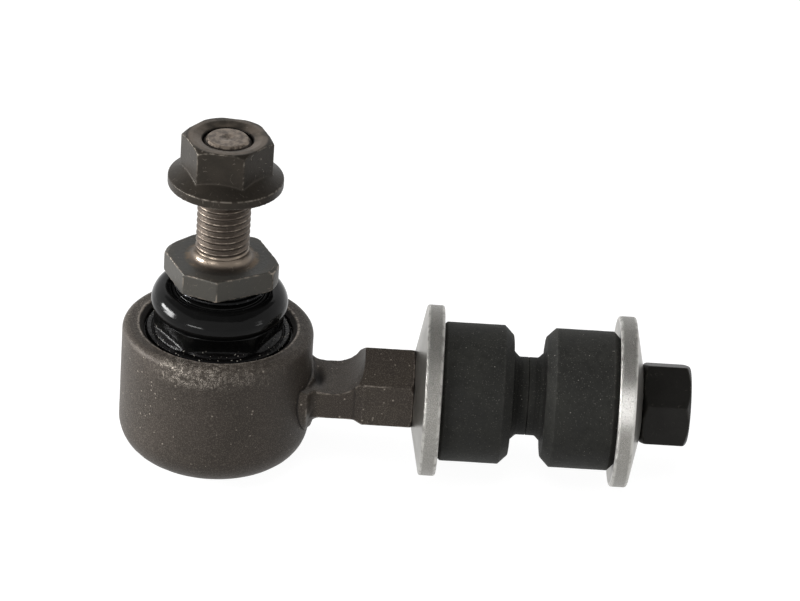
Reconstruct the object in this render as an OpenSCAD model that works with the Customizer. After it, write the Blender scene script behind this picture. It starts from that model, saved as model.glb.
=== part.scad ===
// Stabilizer link: a ball stud in a forged socket, and a shank that carries two clamped rubber bushings.
// The origin is the centre of the stud's seat face, +Z runs up the stud and +X along the shank.

/* [Socket housing] */
// Outer diameter of the socket cup
housing_d = 35.8; // [34:0.1:42]
// Depth of the cup's base under the ball centre
base_depth = 14.4; // [13.8:0.1:17]
// Thickness of the cup's floor
floor_t = 2.4; // [1.8:0.1:3]
// Thickness of the cup's side wall
cup_wall = 2.8; // [2.2:0.1:3.4]
// Rounding of the base edge
base_round = 6.4; // [4:0.1:8]
// Fillet between the cup's floor and its bore
bore_fillet = 3.5; // [1:0.1:5]
// Height of the rolled lip over the ball centre
lip_h = 11.5; // [11:0.1:13]
// Thickness of the rolled lip over the parts that it holds
lip_t = 1.5; // [1:0.1:2]
// Diameter of the mouth inside the rolled lip
mouth_d = 28; // [27.6:0.1:29]
// Rounding of the rolled shoulder
shoulder_round = 4; // [3:0.5:5]

/* [Ball stud] */
// Diameter of the ball
ball_d = 19; // [18:0.1:20]
// Diameter of the stud between the ball and the collar
neck_d = 9.4; // [8.6:0.1:10]
// Height of the collar's seat face over the ball centre
seat_h = 25.8; // [24.5:0.1:30]
// Thickness of the collar
collar_t = 4.3; // [3:0.1:5]
// Diameter of the collar over its corners
collar_d = 21.6; // [20:0.1:24]
// Width over the collar's two wrench flats
collar_flats = 18.7; // [16:0.1:19]
// Turn of the wrench flats from the front face
collar_turn = -66; // [-90:1:90]
// Depth of the shallow trimmed faces beside the wrench flats
collar_trim = 1.1; // [0.6:0.1:1.6]
// Depth of the deep trimmed faces at the collar's front and back
collar_deep_trim = 2; // [1.4:0.1:2.6]
// Chamfer of the collar's top edge
collar_chamfer = 0.7; // [0.3:0.1:1]
// Diameter of the stud's thread
thread_d = 10; // [8:0.5:12]
// Length of the stud over its seat face
stud_l = 24.8; // [22:0.1:30]
// Radius of the fillet where the stud leaves its seat face
stud_fillet = 1.7; // [1:0.1:2]
// Chamfer of the stud's end
stud_chamfer = 1.15; // [0.5:0.05:1.5]
// Diameter of the centre mark in the stud's end
centre_mark_d = 3; // [2:0.1:4]

/* [Socket bearing] */
// Height of the upper seat over the ball centre
upper_seat_h = 6.4; // [6:0.1:7]
// Diameter of the upper seat's opening for the stud
seat_opening_d = 15.5; // [15:0.1:16]
// Thickness of the lower seat under the ball
lower_seat_t = 1.3; // [1:0.1:1.6]
// Thickness of the preload spring's disc
spring_t = 0.5; // [0.3:0.05:0.7]
// Diameter of the hole in the preload spring
spring_hole_d = 11; // [9:0.5:13]
// Diameter of the preload spring
spring_d = 23; // [20:0.5:26]
// Thickness of the cover ring
cover_t = 2; // [1.5:0.1:2.2]
// Diameter of the hole in the cover ring
cover_hole_d = 18; // [17.6:0.1:20]

/* [Dust boot] */
// Thickness of the boot's rubber
boot_wall = 1.2; // [0.8:0.1:1.5]
// Diameter of the boot's bead in the mouth
bead_d = 27; // [26:0.1:27.4]
// How far the bead stands over the rolled lip
bead_rise = 0.4; // [0.2:0.1:1]
// Diameter of the boot's lower band
band_d = 24.4; // [23.6:0.1:25]
// Diameter of the boot over its bulge
bulge_d = 25.5; // [25:0.1:27]
// Height of the bulge over the ball centre
bulge_h = 17.4; // [16.5:0.1:18]
// Radius of the bulge's own curve
bulge_round = 2.6; // [2:0.1:3]
// Depth of the fold between the bulge and the top lip
fold_depth = 0.7; // [0.2:0.1:1]
// Diameter of the boot's top lip
top_lip_d = 16.4; // [16:0.1:18]
// Thickness of the boot's top lip
top_lip_t = 2.2; // [1.8:0.1:2.6]
// Wire diameter of the ring that closes the boot's top lip
clip_wire_d = 1.1; // [0.8:0.1:1.4]
// Thickness of the ring that holds the boot's base out
base_ring_t = 0.8; // [0.5:0.1:1.2]
// Height of the ring that holds the boot's base out
base_ring_h = 2.6; // [1.5:0.1:3]

/* [Shank] */
// Width over the flats of the shank's hexagon
hex_af = 14.5; // [13:0.1:16]
// Distance of the hexagon's start from the stud axis
hex_x = 27.8; // [26:0.1:32]
// Length of the hexagon
hex_l = 9.4; // [6:0.1:14]
// Width over the flats of the neck
neck_af = 12.8; // [11:0.1:13]
// Height of the scooped top of the neck over the shank axis
scoop_h = 1.5; // [0:0.1:3]
// Radius of the scoop beside the hexagon
scoop_round = 5.6; // [4:0.1:7]
// Radius of the scoop beside the cup
scoop_sweep = 14; // [10:0.5:20]
// Radius of the flare where the neck meets the cup
flare_round = 2.6; // [2:0.1:4]
// How deep the flare's wide end lies in the cup's curve
flare_sink = 0.4; // [0.2:0.1:1]
// Chamfer of the hexagon's end beside the washer
hex_chamfer = 0.9; // [0.5:0.1:1.5]
// Length over which the neck widens to the hexagon
hex_lead = 1.6; // [0.8:0.1:2.5]
// Diameter of the rod through the bushings
rod_d = 10; // [8:0.5:11]
// Chamfer of the rod's end
rod_chamfer = 1; // [0.5:0.1:1.5]
// How far the rod's end lies inside the end nut
rod_recess = 0.4; // [0:0.1:2]

/* [Bushings] */
// Diameter of a bushing
bush_d = 26.2; // [24:0.1:30]
// Length of a bushing with its nose
bush_l = 17.9; // [16:0.05:24]
// Length of a bushing's nose
nose_l = 3.05; // [2.6:0.05:4]
// Diameter of a bushing's nose
nose_d = 14.7; // [14:0.1:17]
// Chamfer of the shoulder beside the nose
bush_shoulder_chamfer = 1.75; // [0.5:0.05:2.5]
// Chamfer of the end in the washer
bush_end_chamfer = 1.3; // [0.5:0.1:2]
// Chamfer at the root of the nose
nose_chamfer = 1.3; // [0.5:0.1:1.5]

/* [Washers] */
// Diameter of a washer
washer_d = 32.2; // [29:0.1:36]
// Thickness of a washer along the shank
washer_t = 3.4; // [1.5:0.1:3.5]
// How far a washer's rim leans over the bushing
washer_dish = 1.8; // [0.5:0.1:3]
// Diameter of a washer's flat middle
washer_hub_d = 15; // [14:0.5:18]
// Rounding of a washer's rim
washer_round = 0.5; // [0.2:0.1:0.8]

/* [Nuts] */
// Width over the flats of the flange nut
flange_nut_af = 15; // [13:0.1:17]
// Height of the flange nut
flange_nut_h = 9.6; // [8:0.1:12]
// Diameter of the flange nut's flange
flange_d = 21.4; // [19:0.1:24]
// Thickness of the flange at its rim
flange_t = 1.6; // [1:0.1:2.5]
// Height where the flange's cone runs into the hexagon
flange_cone_h = 3.4; // [2.6:0.1:5]
// Gap between the stud's seat face and the flange nut
clamp_gap = 15.4; // [10:0.1:16]
// Turn of the flange nut from the front face
flange_nut_turn = -7; // [-30:0.5:30]
// Width over the flats of the end nut
end_nut_af = 14.8; // [14:0.1:18]
// Height of the end nut
end_nut_h = 9.1; // [8:0.1:12]
// Turn of the end nut's front corner over the horizon
end_nut_turn = 25.5; // [0:0.1:60]
// Chamfer of the flange nut's corners
nut_chamfer = 1; // [0.4:0.1:1.2]
// Chamfer of the end nut's corners
end_nut_chamfer = 1.6; // [0.8:0.1:1.8]
// Countersink of the nuts' threads
countersink = 0.4; // [0.2:0.1:0.8]

/* [Clearances] */
// Radial gap between a thread and its nut
thread_gap = 0.05; // [0.02:0.01:0.1]
// Radial gap between the ball and its seats
ball_gap = 0.05; // [0.02:0.01:0.1]
// Gap between pieces that are stacked and clamped
stack_gap = 0.05; // [0.02:0.01:0.1]
// Radial gap between the rod and what slides on it
slide_gap = 0.15; // [0.05:0.05:0.3]

/* [Hidden] */
$fn = 96;

// Socket, measured from the ball centre
housing_r = housing_d / 2;
bore_r = housing_r - cup_wall;
mouth_r = mouth_d / 2;
floor_z = -base_depth + floor_t;
lip_under_z = lip_h - lip_t;
ball_r = ball_d / 2;
seat_r = ball_r + ball_gap;
liner_r = bore_r - stack_gap;
lower_seat_z = -ball_r - lower_seat_t;
cover_z = upper_seat_h + stack_gap;
boot_flange_z = cover_z + cover_t + stack_gap;
seat_opening_r = seat_opening_d / 2;
seat_opening_z = sqrt(seat_r * seat_r - seat_opening_r * seat_opening_r);

// Boot, measured from the ball centre
neck_r = neck_d / 2;
bead_r = bead_d / 2;
bead_z = lip_h + bead_rise;
band_r = band_d / 2;
bulge_r = bulge_d / 2;
collar_z = seat_h - collar_t;
top_lip_z = collar_z - stack_gap - top_lip_t;
top_lip_r = top_lip_d / 2;
clip_z = top_lip_z + top_lip_t / 2;
clip_r = clip_wire_d / 2;
base_ring_r = band_r - boot_wall - stack_gap;

// Faces that the forging die trimmed beside the wrench flats: turn from the front, and depth from the rim
collar_trims = [[-22, collar_trim], [29, collar_deep_trim], [178, collar_deep_trim], [-136, collar_trim]];
// How far a cutting shape runs past the face that it cuts
overrun = 1;

// Clamped stack along the shank
shoulder_x = hex_x + hex_l;
inner_washer_x = shoulder_x + stack_gap;
inner_bush_x = inner_washer_x + washer_t + stack_gap;
seam_x = inner_bush_x + bush_l;
outer_bush_x = seam_x + stack_gap + bush_l;
outer_washer_x = outer_bush_x + stack_gap + washer_t;
end_nut_x = outer_washer_x + stack_gap;
rod_end_x = end_nut_x + end_nut_h - rod_recess;
rod_r = rod_d / 2;
washer_r = washer_d / 2;
washer_hub_r = washer_hub_d / 2;
dish_slope = washer_dish / (washer_r - washer_hub_r);
bush_r = bush_d / 2;
nose_r = nose_d / 2;

// Neck of the shank
neck_apothem = neck_af / 2;
scoop_x = hex_x - scoop_round;
flare_x = housing_r + flare_round - flare_sink;

// Colours of the finishes
forging_colour = "#4f4b47";
bearing_colour = "#d9d4c4";
spring_colour = "#6d6f72";
stud_colour = "#6b655f";
black_rubber_colour = "#1f1f20";
dusty_rubber_colour = "#2e2d2d";
zinc_colour = "#a9aba9";
phosphate_colour = "#3c3936";

// Corner radius of a hexagon from its width over the flats
function hex_r(af) = af / sqrt(3);

// Places its children with the ball centre at their own origin
module at_ball() {
    translate([0, 0, -seat_h]) children();
}

// Turns a shape drawn along +Z so that it runs along +X, with its own +Y kept
module along_x(x) {
    at_ball() translate([x, 0, 0]) rotate([0, 90, 0]) children();
}

// Hexagonal prism along +Z with corners at its +X and -X sides
module hex_prism(af, height) {
    cylinder(r = hex_r(af), h = height, $fn = 6);
}

// Round bar along +Z with a 30 degree chamfer at the chosen ends, used to turn the corners of a hexagon
module turned_bar(r, height, bevel, bottom, top) {
    rise = bevel * tan(30);
    rotate_extrude()
        polygon([[0, 0], [bottom ? r - bevel : r, 0], [r, bottom ? rise : 0],
            [r, top ? height - rise : height], [top ? r - bevel : r, height], [0, height]]);
}

// Threaded hole along +Z with a countersink at each end
module nut_bore(d, height) {
    r = d / 2 + thread_gap;
    rotate_extrude()
        polygon([[0, -overrun], [r + countersink + overrun, -overrun], [r, countersink],
            [r, height - countersink], [r + countersink + overrun, height + overrun], [0, height + overrun]]);
}

// Half section of a round space with a filleted lower edge, from one height to another
module bore_section(low, high, r, fillet) {
    translate([0, low + fillet]) square([r, high - low - fillet]);
    translate([0, low]) square([r - fillet, fillet]);
    translate([r - fillet, low + fillet]) circle(fillet);
}

// Section of the cup: a rounded base, a straight side and a shoulder rolled over the mouth
module cup_section() {
    shoulder_z = lip_h - shoulder_round;
    difference() {
        union() {
            translate([0, -base_depth]) square([housing_r - base_round, base_round]);
            translate([housing_r - base_round, -base_depth + base_round]) circle(base_round);
            translate([0, -base_depth + base_round])
                square([housing_r, shoulder_z + base_depth - base_round]);
            translate([0, shoulder_z]) square([housing_r - shoulder_round, shoulder_round]);
            translate([housing_r - shoulder_round, shoulder_z]) circle(shoulder_round);
        }
        bore_section(floor_z, lip_under_z, bore_r, bore_fillet);
        translate([0, floor_z]) square([mouth_r, base_depth + lip_h]);
        translate([-housing_r, -housing_d]) square([housing_r, 2 * housing_d]);
    }
}

// Forged cup that holds the ball, with its lip rolled over the cover ring
module housing_cup() {
    color(forging_colour) at_ball() rotate_extrude() cup_section();
}

// Side view of the scoop over the neck: a tight curve beside the hexagon and a long one beside the cup
module scoop_section() {
    intersection() {
        translate([scoop_x, scoop_h + scoop_sweep]) circle(scoop_sweep);
        translate([0, scoop_h - overrun]) square([scoop_x, hex_af]);
    }
    translate([scoop_x, scoop_h + scoop_round]) circle(scoop_round);
}

// Flare of the neck's foot, as a section turned about the shank axis
module flare_section() {
    difference() {
        square([neck_apothem + flare_round, flare_x]);
        translate([neck_apothem + flare_round, flare_x]) circle(flare_round);
    }
}

// Shank welded to the cup: scooped neck, wrench hexagon and the rod that carries the bushings
module link_shank() {
    color(forging_colour) difference() {
        union() {
            along_x(0) hex_prism(neck_af, hex_x);
            along_x(0) rotate_extrude() flare_section();
            along_x(hex_x - hex_lead)
                cylinder(r1 = hex_r(neck_af), r2 = hex_r(hex_af), h = hex_lead, $fn = 6);
            along_x(hex_x) intersection() {
                hex_prism(hex_af, hex_l);
                turned_bar(hex_r(hex_af), hex_l, hex_chamfer, false, true);
            }
            along_x(shoulder_x) rotate_extrude()
                polygon([[0, -overrun], [rod_r, -overrun], [rod_r, rod_end_x - shoulder_x - rod_chamfer],
                    [rod_r - rod_chamfer, rod_end_x - shoulder_x], [0, rod_end_x - shoulder_x]]);
        }
        at_ball() translate([0, housing_r, 0]) rotate([90, 0, 0])
            linear_extrude(housing_d) scoop_section();
        at_ball() translate([0, 0, -base_depth]) cylinder(r = housing_r, h = 2 * base_depth);
    }
}

// Collar of the stud: a turned disc with two wrench flats and the faces that its forging die trimmed
module collar() {
    collar_r = collar_d / 2;
    translate([0, 0, collar_z]) difference() {
        turned_bar(collar_r, collar_t, collar_chamfer, true, true);
        for (turn = [collar_turn, collar_turn + 180])
            rotate([0, 0, turn]) translate([-collar_r, -collar_flats / 2 - collar_r, -overrun])
                cube([collar_d, collar_r, collar_t + 2 * overrun]);
        for (trim = collar_trims)
            rotate([0, 0, trim[0]]) translate([-collar_r, trim[1] - collar_d, -overrun])
                cube([collar_d, collar_r, collar_t + 2 * overrun]);
    }
}

// Ball stud: ball, neck, wrench collar and threaded end in one forging
module ball_stud() {
    thread_r = thread_d / 2;
    end_z = seat_h + stud_l;
    color(stud_colour) at_ball() difference() {
        union() {
            sphere(ball_r);
            cylinder(r = neck_r, h = collar_z + overrun);
            collar();
            rotate_extrude() difference() {
                translate([0, seat_h - overrun]) square([thread_r + stud_fillet, stud_fillet + overrun]);
                translate([thread_r + stud_fillet, seat_h + stud_fillet]) circle(stud_fillet);
            }
            rotate_extrude()
                polygon([[0, seat_h], [thread_r, seat_h], [thread_r, end_z - stud_chamfer],
                    [thread_r - stud_chamfer, end_z], [0, end_z]]);
        }
        translate([0, 0, end_z - centre_mark_d / 4])
            cylinder(r1 = 0, r2 = centre_mark_d, h = centre_mark_d / 2);
    }
}

// Lower half of the bearing, under the ball's widest circle
module lower_seat() {
    color(bearing_colour) at_ball() difference() {
        rotate_extrude() intersection() {
            translate([0, lower_seat_z]) square([liner_r, -lower_seat_z - stack_gap]);
            bore_section(floor_z + stack_gap, 0, liner_r, bore_fillet - stack_gap);
        }
        sphere(seat_r);
    }
}

// Upper half of the bearing, open at its top for the stud
module upper_seat() {
    rise = upper_seat_h - seat_opening_z;
    lean = (cover_hole_d / 2 - seat_opening_r) / rise;
    color(bearing_colour) at_ball() difference() {
        translate([0, 0, stack_gap]) cylinder(r = liner_r, h = upper_seat_h - stack_gap);
        sphere(seat_r);
        translate([0, 0, seat_opening_z])
            cylinder(r1 = seat_opening_r, r2 = seat_opening_r + lean * (rise + overrun), h = rise + overrun);
    }
}

// Coned disc spring between the cup's floor and the lower seat
module preload_spring() {
    low = floor_z + stack_gap;
    high = lower_seat_z - stack_gap;
    color(spring_colour) at_ball() rotate_extrude()
        polygon([[spring_d / 2, low], [spring_d / 2, low + spring_t],
            [spring_hole_d / 2, high], [spring_hole_d / 2, high - spring_t]]);
}

// Steel ring over the upper seat, which the rolled lip holds down
module cover_ring() {
    color(spring_colour) at_ball() translate([0, 0, cover_z]) difference() {
        cylinder(r = liner_r, h = cover_t);
        translate([0, 0, -overrun]) cylinder(d = cover_hole_d, h = cover_t + 2 * overrun);
    }
}

// Outer line of the boot's side: a flange under the lip, a bead in the mouth, a band and a bulge
module boot_side(inset) {
    bulge_mid = bulge_r - bulge_round;
    translate([0, boot_flange_z]) square([band_r - inset, bulge_h - boot_flange_z]);
    translate([bulge_mid, bulge_h]) circle(bulge_round - inset);
    translate([0, bulge_h - bulge_round + inset])
        square([bulge_mid, 2 * (bulge_round - inset) - fold_depth]);
}

// Section of the boot, with its top lip on the stud's neck, pressed flat where it meets the collar
module boot_section() {
    difference() {
        union() {
            translate([0, boot_flange_z])
                square([liner_r - stack_gap, lip_under_z - boot_flange_z - stack_gap]);
            translate([0, boot_flange_z]) square([bead_r, bead_z - boot_flange_z]);
            boot_side(0);
            translate([0, bulge_h]) square([top_lip_r, seat_h - bulge_h]);
        }
        translate([0, collar_z - stack_gap]) square([housing_r, seat_h]);
        boot_side(boot_wall);
        translate([0, boot_flange_z - overrun]) square([band_r - boot_wall, 2 * overrun]);
        translate([-housing_r, 0]) square([housing_r + neck_r + slide_gap, seat_h]);
        translate([top_lip_r, clip_z]) circle(clip_r + stack_gap);
    }
}

// Rubber boot that keeps the grease in the socket
module dust_boot() {
    color(black_rubber_colour) at_ball() rotate_extrude() boot_section();
}

// Steel ring inside the boot's base, which holds it out against the mouth
module boot_base_ring() {
    color(spring_colour) at_ball() translate([0, 0, boot_flange_z]) difference() {
        cylinder(r = base_ring_r, h = base_ring_h);
        translate([0, 0, -overrun]) cylinder(r = base_ring_r - base_ring_t, h = base_ring_h + 2 * overrun);
    }
}

// Wire ring in the groove of the boot's top lip
module boot_clip() {
    color(spring_colour) at_ball() rotate_extrude() translate([top_lip_r, clip_z]) circle(clip_r);
}

// Flange nut on the stud's thread
module flange_nut() {
    flange_r = flange_d / 2;
    color(phosphate_colour) translate([0, 0, clamp_gap]) difference() {
        union() {
            rotate_extrude()
                polygon([[0, 0], [flange_r, 0], [flange_r, flange_t],
                    [flange_nut_af / 2, flange_cone_h], [0, flange_cone_h]]);
            rotate([0, 0, flange_nut_turn]) intersection() {
                hex_prism(flange_nut_af, flange_nut_h);
                turned_bar(hex_r(flange_nut_af), flange_nut_h, nut_chamfer, false, true);
            }
        }
        nut_bore(thread_d, flange_nut_h);
    }
}

// Section of a dished washer, with its outer face at zero and its rim leaning towards +Y of the section
module washer_section() {
    lean = sqrt(1 + dish_slope * dish_slope);
    round_r = washer_r - washer_round;
    rim = (round_r - washer_hub_r) * dish_slope;
    hole_r = rod_r + slide_gap;
    polygon([[hole_r, 0], [washer_hub_r, 0], [round_r + washer_round * dish_slope / lean,
        rim + washer_round * (lean - 1 / lean)], [washer_r, rim + washer_round * lean],
        [washer_r, rim + washer_t - washer_round * lean], [round_r - washer_round * dish_slope / lean,
        rim + washer_t - washer_round * (lean - 1 / lean)], [washer_hub_r, washer_t], [hole_r, washer_t]]);
    translate([round_r, rim + washer_round * lean]) circle(washer_round);
    translate([round_r, rim + washer_t - washer_round * lean]) circle(washer_round);
}

// Washer between the hexagon's shoulder and the inner bushing
module inner_washer() {
    color(zinc_colour) along_x(inner_washer_x) rotate_extrude() washer_section();
}

// Washer under the end nut, turned to face the other one
module outer_washer() {
    color(zinc_colour) along_x(outer_washer_x) mirror([0, 0, 1]) rotate_extrude() washer_section();
}

// Section of a bushing: one end follows the dish of its washer, the other ends in the nose
module bushing_section() {
    end_r = bush_r - bush_end_chamfer;
    end_z = (end_r - washer_hub_r) * dish_slope;
    shoulder_z = bush_l - nose_l;
    hole_r = rod_r + slide_gap;
    polygon([[hole_r, 0], [washer_hub_r, 0], [end_r, end_z], [bush_r, end_z + bush_end_chamfer],
        [bush_r, shoulder_z - bush_shoulder_chamfer], [bush_r - bush_shoulder_chamfer, shoulder_z],
        [nose_r + nose_chamfer, shoulder_z], [nose_r, shoulder_z + nose_chamfer],
        [nose_r, bush_l], [hole_r, bush_l]]);
}

// Rubber bushing on the shank's side of the bar's eye
module inner_bushing() {
    color(dusty_rubber_colour) along_x(inner_bush_x) rotate_extrude() bushing_section();
}

// Rubber bushing on the end nut's side of the bar's eye
module outer_bushing() {
    color(dusty_rubber_colour) along_x(outer_bush_x) mirror([0, 0, 1]) rotate_extrude() bushing_section();
}

// Nut that clamps the washers and bushings on the rod
module end_nut() {
    color(phosphate_colour) along_x(end_nut_x) difference() {
        rotate([0, 0, -90 - end_nut_turn]) intersection() {
            hex_prism(end_nut_af, end_nut_h);
            turned_bar(hex_r(end_nut_af), end_nut_h, end_nut_chamfer, true, true);
        }
        nut_bore(rod_d, end_nut_h);
    }
}

housing_cup();
link_shank();
ball_stud();
lower_seat();
upper_seat();
preload_spring();
cover_ring();
dust_boot();
boot_base_ring();
boot_clip();
flange_nut();
inner_washer();
inner_bushing();
outer_bushing();
outer_washer();
end_nut();
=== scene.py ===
"""Stabilizer link with a ball stud and clamped rubber bushings, dressed round its CAD frame.

Sizes are in millimetres. Heights along the stud and distances along the shank are measured from
the ball centre.
"""

import logging
import math
from collections.abc import Callable, Sequence
from dataclasses import dataclass
from enum import Enum
from typing import Any

import bmesh
import bpy
import numpy as np
from mathutils import Matrix, Vector, noise


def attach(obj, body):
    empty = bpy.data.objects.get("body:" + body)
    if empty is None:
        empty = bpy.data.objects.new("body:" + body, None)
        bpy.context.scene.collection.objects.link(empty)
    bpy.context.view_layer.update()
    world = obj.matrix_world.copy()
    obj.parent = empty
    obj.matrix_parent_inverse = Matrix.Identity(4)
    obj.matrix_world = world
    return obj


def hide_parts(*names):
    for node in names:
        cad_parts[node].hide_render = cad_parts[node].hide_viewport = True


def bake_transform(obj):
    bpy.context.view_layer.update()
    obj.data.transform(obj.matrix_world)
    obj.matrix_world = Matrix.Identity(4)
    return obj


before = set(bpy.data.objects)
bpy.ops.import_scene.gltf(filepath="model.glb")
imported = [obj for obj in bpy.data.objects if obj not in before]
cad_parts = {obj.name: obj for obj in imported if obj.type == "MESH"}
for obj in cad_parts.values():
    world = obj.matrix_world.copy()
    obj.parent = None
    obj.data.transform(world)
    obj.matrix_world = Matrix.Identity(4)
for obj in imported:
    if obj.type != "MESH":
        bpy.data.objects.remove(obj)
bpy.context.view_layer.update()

Piece = bpy.types.Object
Socket = bpy.types.NodeSocket
Tree = bpy.types.NodeTree
Material = bpy.types.Material
Point = tuple[float, float]
Triple = tuple[float, float, float]

LOG = logging.getLogger("stabilizer_link")
MM = 0.001
BALL_Z = -25.8
FULL_TURN = 2 * math.pi
WHITE = "#ffffff"
# Points nearer than this, in metres, become one.
MERGE = 2e-6
# A length, or its square, below this counts as none.
TINY = 2e-6
# Share of a side that one corner's rounding may take.
CORNER_SHARE = 0.49
# Share of the way to the middle of its neighbours that a point goes in one pass of softening.
SOFTENING = 0.5
# Unevenness has three layers, each half as deep and half as wide as the one before.
FALL, FINER, LAYERS = 1.0, 2.0, 3


class Axis(Enum):
    """The two lines about which the link's round pieces are turned."""

    STUD = "stud"
    SHANK = "shank"


# Colours, nodes and new objects

def linear(code: str) -> tuple[float, float, float, float]:
    """Turns an sRGB hex colour into linear light.

    Args:
        code: Colour such as "#4b4641".

    Returns:
        Linear red, green and blue, with full opacity.
    """
    shares = [int(code[i:i + 2], 16) / 255 for i in (1, 3, 5)]
    return (*[s / 12.92 if s <= 0.04045 else ((s + 0.055) / 1.055) ** 2.4 for s in shares], 1.0)


def add(tree: Tree, kind: str, inputs: dict[Any, Any] | None = None, **settings: Any) -> Socket:
    """Adds one node to a shader or geometry tree.

    Args:
        tree: The tree that gets the node.
        kind: Blender's name for the kind of node.
        inputs: A value, or another node's output, for each input by its name or place.
        settings: Properties of the node itself.

    Returns:
        The first of the node's outputs that is in use, if it has any; the others are reached
        through its node.
    """
    node = tree.nodes.new(kind)
    for name, value in settings.items():
        setattr(node, name, value)
    for key, value in (inputs or {}).items():
        if isinstance(value, Socket):
            tree.links.new(value, node.inputs[key])
        else:
            node.inputs[key].default_value = value
    return next((output for output in node.outputs if output.enabled), None)


def empty_tree(owner: Material | bpy.types.World) -> Tree:
    """Gives a material or a world a node tree with nothing in it.

    Args:
        owner: The new material or world.

    Returns:
        Its tree.
    """
    owner.use_nodes = True
    owner.node_tree.nodes.clear()
    return owner.node_tree


def new_object(name: str, data: bpy.types.ID) -> Piece:
    """Makes an object and puts it into the scene.

    Args:
        name: Name of the object.
        data: Its mesh, camera or lamp.

    Returns:
        The new object, at the origin.
    """
    made = bpy.data.objects.new(name, data)
    bpy.context.scene.collection.objects.link(made)
    return made


# Sections and meshes

def rounded(corners: Sequence[Triple], closed: bool, arc: int = 6) -> list[Point]:
    """Rounds the corners of a section.

    Args:
        corners: Radius, height and corner rounding of each corner in order.
        closed: Whether the last corner joins the first one.
        arc: Steps in each rounding.

    Returns:
        Radius and height of each point of the rounded section.
    """
    line: list[Point] = []
    count = len(corners)
    for i, (r, h, size) in enumerate(corners):
        if size <= 0 or (not closed and i in (0, count - 1)):
            line.append((r, h))
            continue
        here = Vector((r, h))
        before = Vector(corners[i - 1][:2]) - here
        after = Vector(corners[(i + 1) % count][:2]) - here
        half = before.angle(after) / 2
        room = CORNER_SHARE * min(before.length, after.length)
        reach = min(size / math.tan(half), room)
        size = reach * math.tan(half)
        before.normalize()
        after.normalize()
        start, end = here + before * reach, here + after * reach
        middle = here + (before + after).normalized() * (size / math.sin(half))
        for step in range(arc + 1):
            point = start.lerp(end, step / arc) - middle
            point = middle + point.normalized() * size
            line.append((point.x, point.y))
    return line


def spaced(line: Sequence[Point], gap: float, closed: bool) -> list[Point]:
    """Splits the long stretches of a section, so that a turned piece can carry fine unevenness.

    Args:
        line: Radius and height of each point.
        gap: Longest stretch that stays whole.
        closed: Whether the last point joins the first one.

    Returns:
        The section with more points.
    """
    points: list[Point] = []
    ends = [*line[1:], line[0]] if closed else line[1:]
    for (r0, h0), (r1, h1) in zip(line, ends):
        steps = max(1, math.ceil(math.hypot(r1 - r0, h1 - h0) / gap))
        points += [(r0 + (r1 - r0) * k / steps, h0 + (h1 - h0) * k / steps) for k in range(steps)]
    return points if closed else [*points, line[-1]]


def merged(mesh: bpy.types.Mesh) -> bmesh.types.BMesh:
    """Copies a mesh to work on, with the points that meet made one.

    Args:
        mesh: The mesh, which stays as it is.

    Returns:
        The working copy.
    """
    work = bmesh.new()
    work.from_mesh(mesh)
    bmesh.ops.remove_doubles(work, verts=work.verts, dist=MERGE)
    return work


def mend(mesh: bpy.types.Mesh) -> None:
    """Closes a mesh's seams, turns its faces outwards and shades it smooth.

    Args:
        mesh: The mesh to change.
    """
    work = merged(mesh)
    bmesh.ops.recalc_face_normals(work, faces=work.faces)
    work.to_mesh(mesh)
    work.free()
    mesh.shade_smooth()


def make_piece(name: str, points: np.ndarray, faces: Sequence[Sequence[int]]) -> Piece:
    """Makes a closed, smooth mesh with its faces outwards.

    Args:
        name: Name of the piece.
        points: Places in millimetres, in the CAD frame.
        faces: Corners of each face.

    Returns:
        The new piece, at the origin.
    """
    mesh = bpy.data.meshes.new(name)
    mesh.from_pydata((points * MM).tolist(), [], faces)
    mend(mesh)
    return new_object(name, mesh)


def turned(name: str, section: Sequence[Point], axis: Axis, steps: int,
           warp: Callable[[np.ndarray], np.ndarray] | None = None) -> Piece:
    """Turns a section about the stud or the shank.

    Args:
        name: Name of the piece.
        section: Radius and height of each point; both ends lie on the axis, or it closes on itself.
        axis: The line to turn about.
        steps: Steps in one turn.
        warp: Changes rows of radius, angle and height before they are placed.

    Returns:
        The turned piece.
    """
    angles = np.arange(steps) * FULL_TURN / steps
    rows, starts = [], []
    for r, h in section:
        starts.append(sum(len(row) for row in rows))
        turn = angles if r > TINY else angles[:1]
        rows.append(np.stack([np.full(len(turn), r), turn, np.full(len(turn), h)], -1))
    polar = np.concatenate(rows)
    r, turn, h = (polar if warp is None else warp(polar)).T
    side, up = r * np.cos(turn), r * np.sin(turn)
    points = np.stack([side, up, h + BALL_Z] if axis is Axis.STUD else [h, side, up + BALL_Z], -1)
    faces: list[list[int]] = []
    poles = [len(row) == 1 for row in rows]
    for i in range(len(rows) - (poles[0] and poles[-1])):
        j = (i + 1) % len(rows)
        for k in range(steps):
            m = (k + 1) % steps
            ring = [starts[row] + (0 if poles[row] else step)
                    for row, step in ((i, k), (i, m), (j, m), (j, k))]
            faces.append(list(dict.fromkeys(ring)))
    return make_piece(name, points, faces)


def cad_copy(node: str, *cuts: tuple[Triple, Triple]) -> bmesh.types.BMesh:
    """Copies a CAD solid as one merged mesh.

    Args:
        node: Name of the CAD node.
        cuts: Point in millimetres and direction of each plane whose far side is cut away.

    Returns:
        The copy, closed where it was cut.
    """
    work = merged(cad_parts[node].data)
    for point, direction in cuts:
        bmesh.ops.bisect_plane(work, geom=[*work.verts, *work.edges, *work.faces], dist=MERGE,
                               plane_co=Vector(point) * MM, plane_no=Vector(direction),
                               clear_outer=True)
        bmesh.ops.holes_fill(work, edges=[e for e in work.edges if e.is_boundary], sides=0)
    return work


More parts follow.
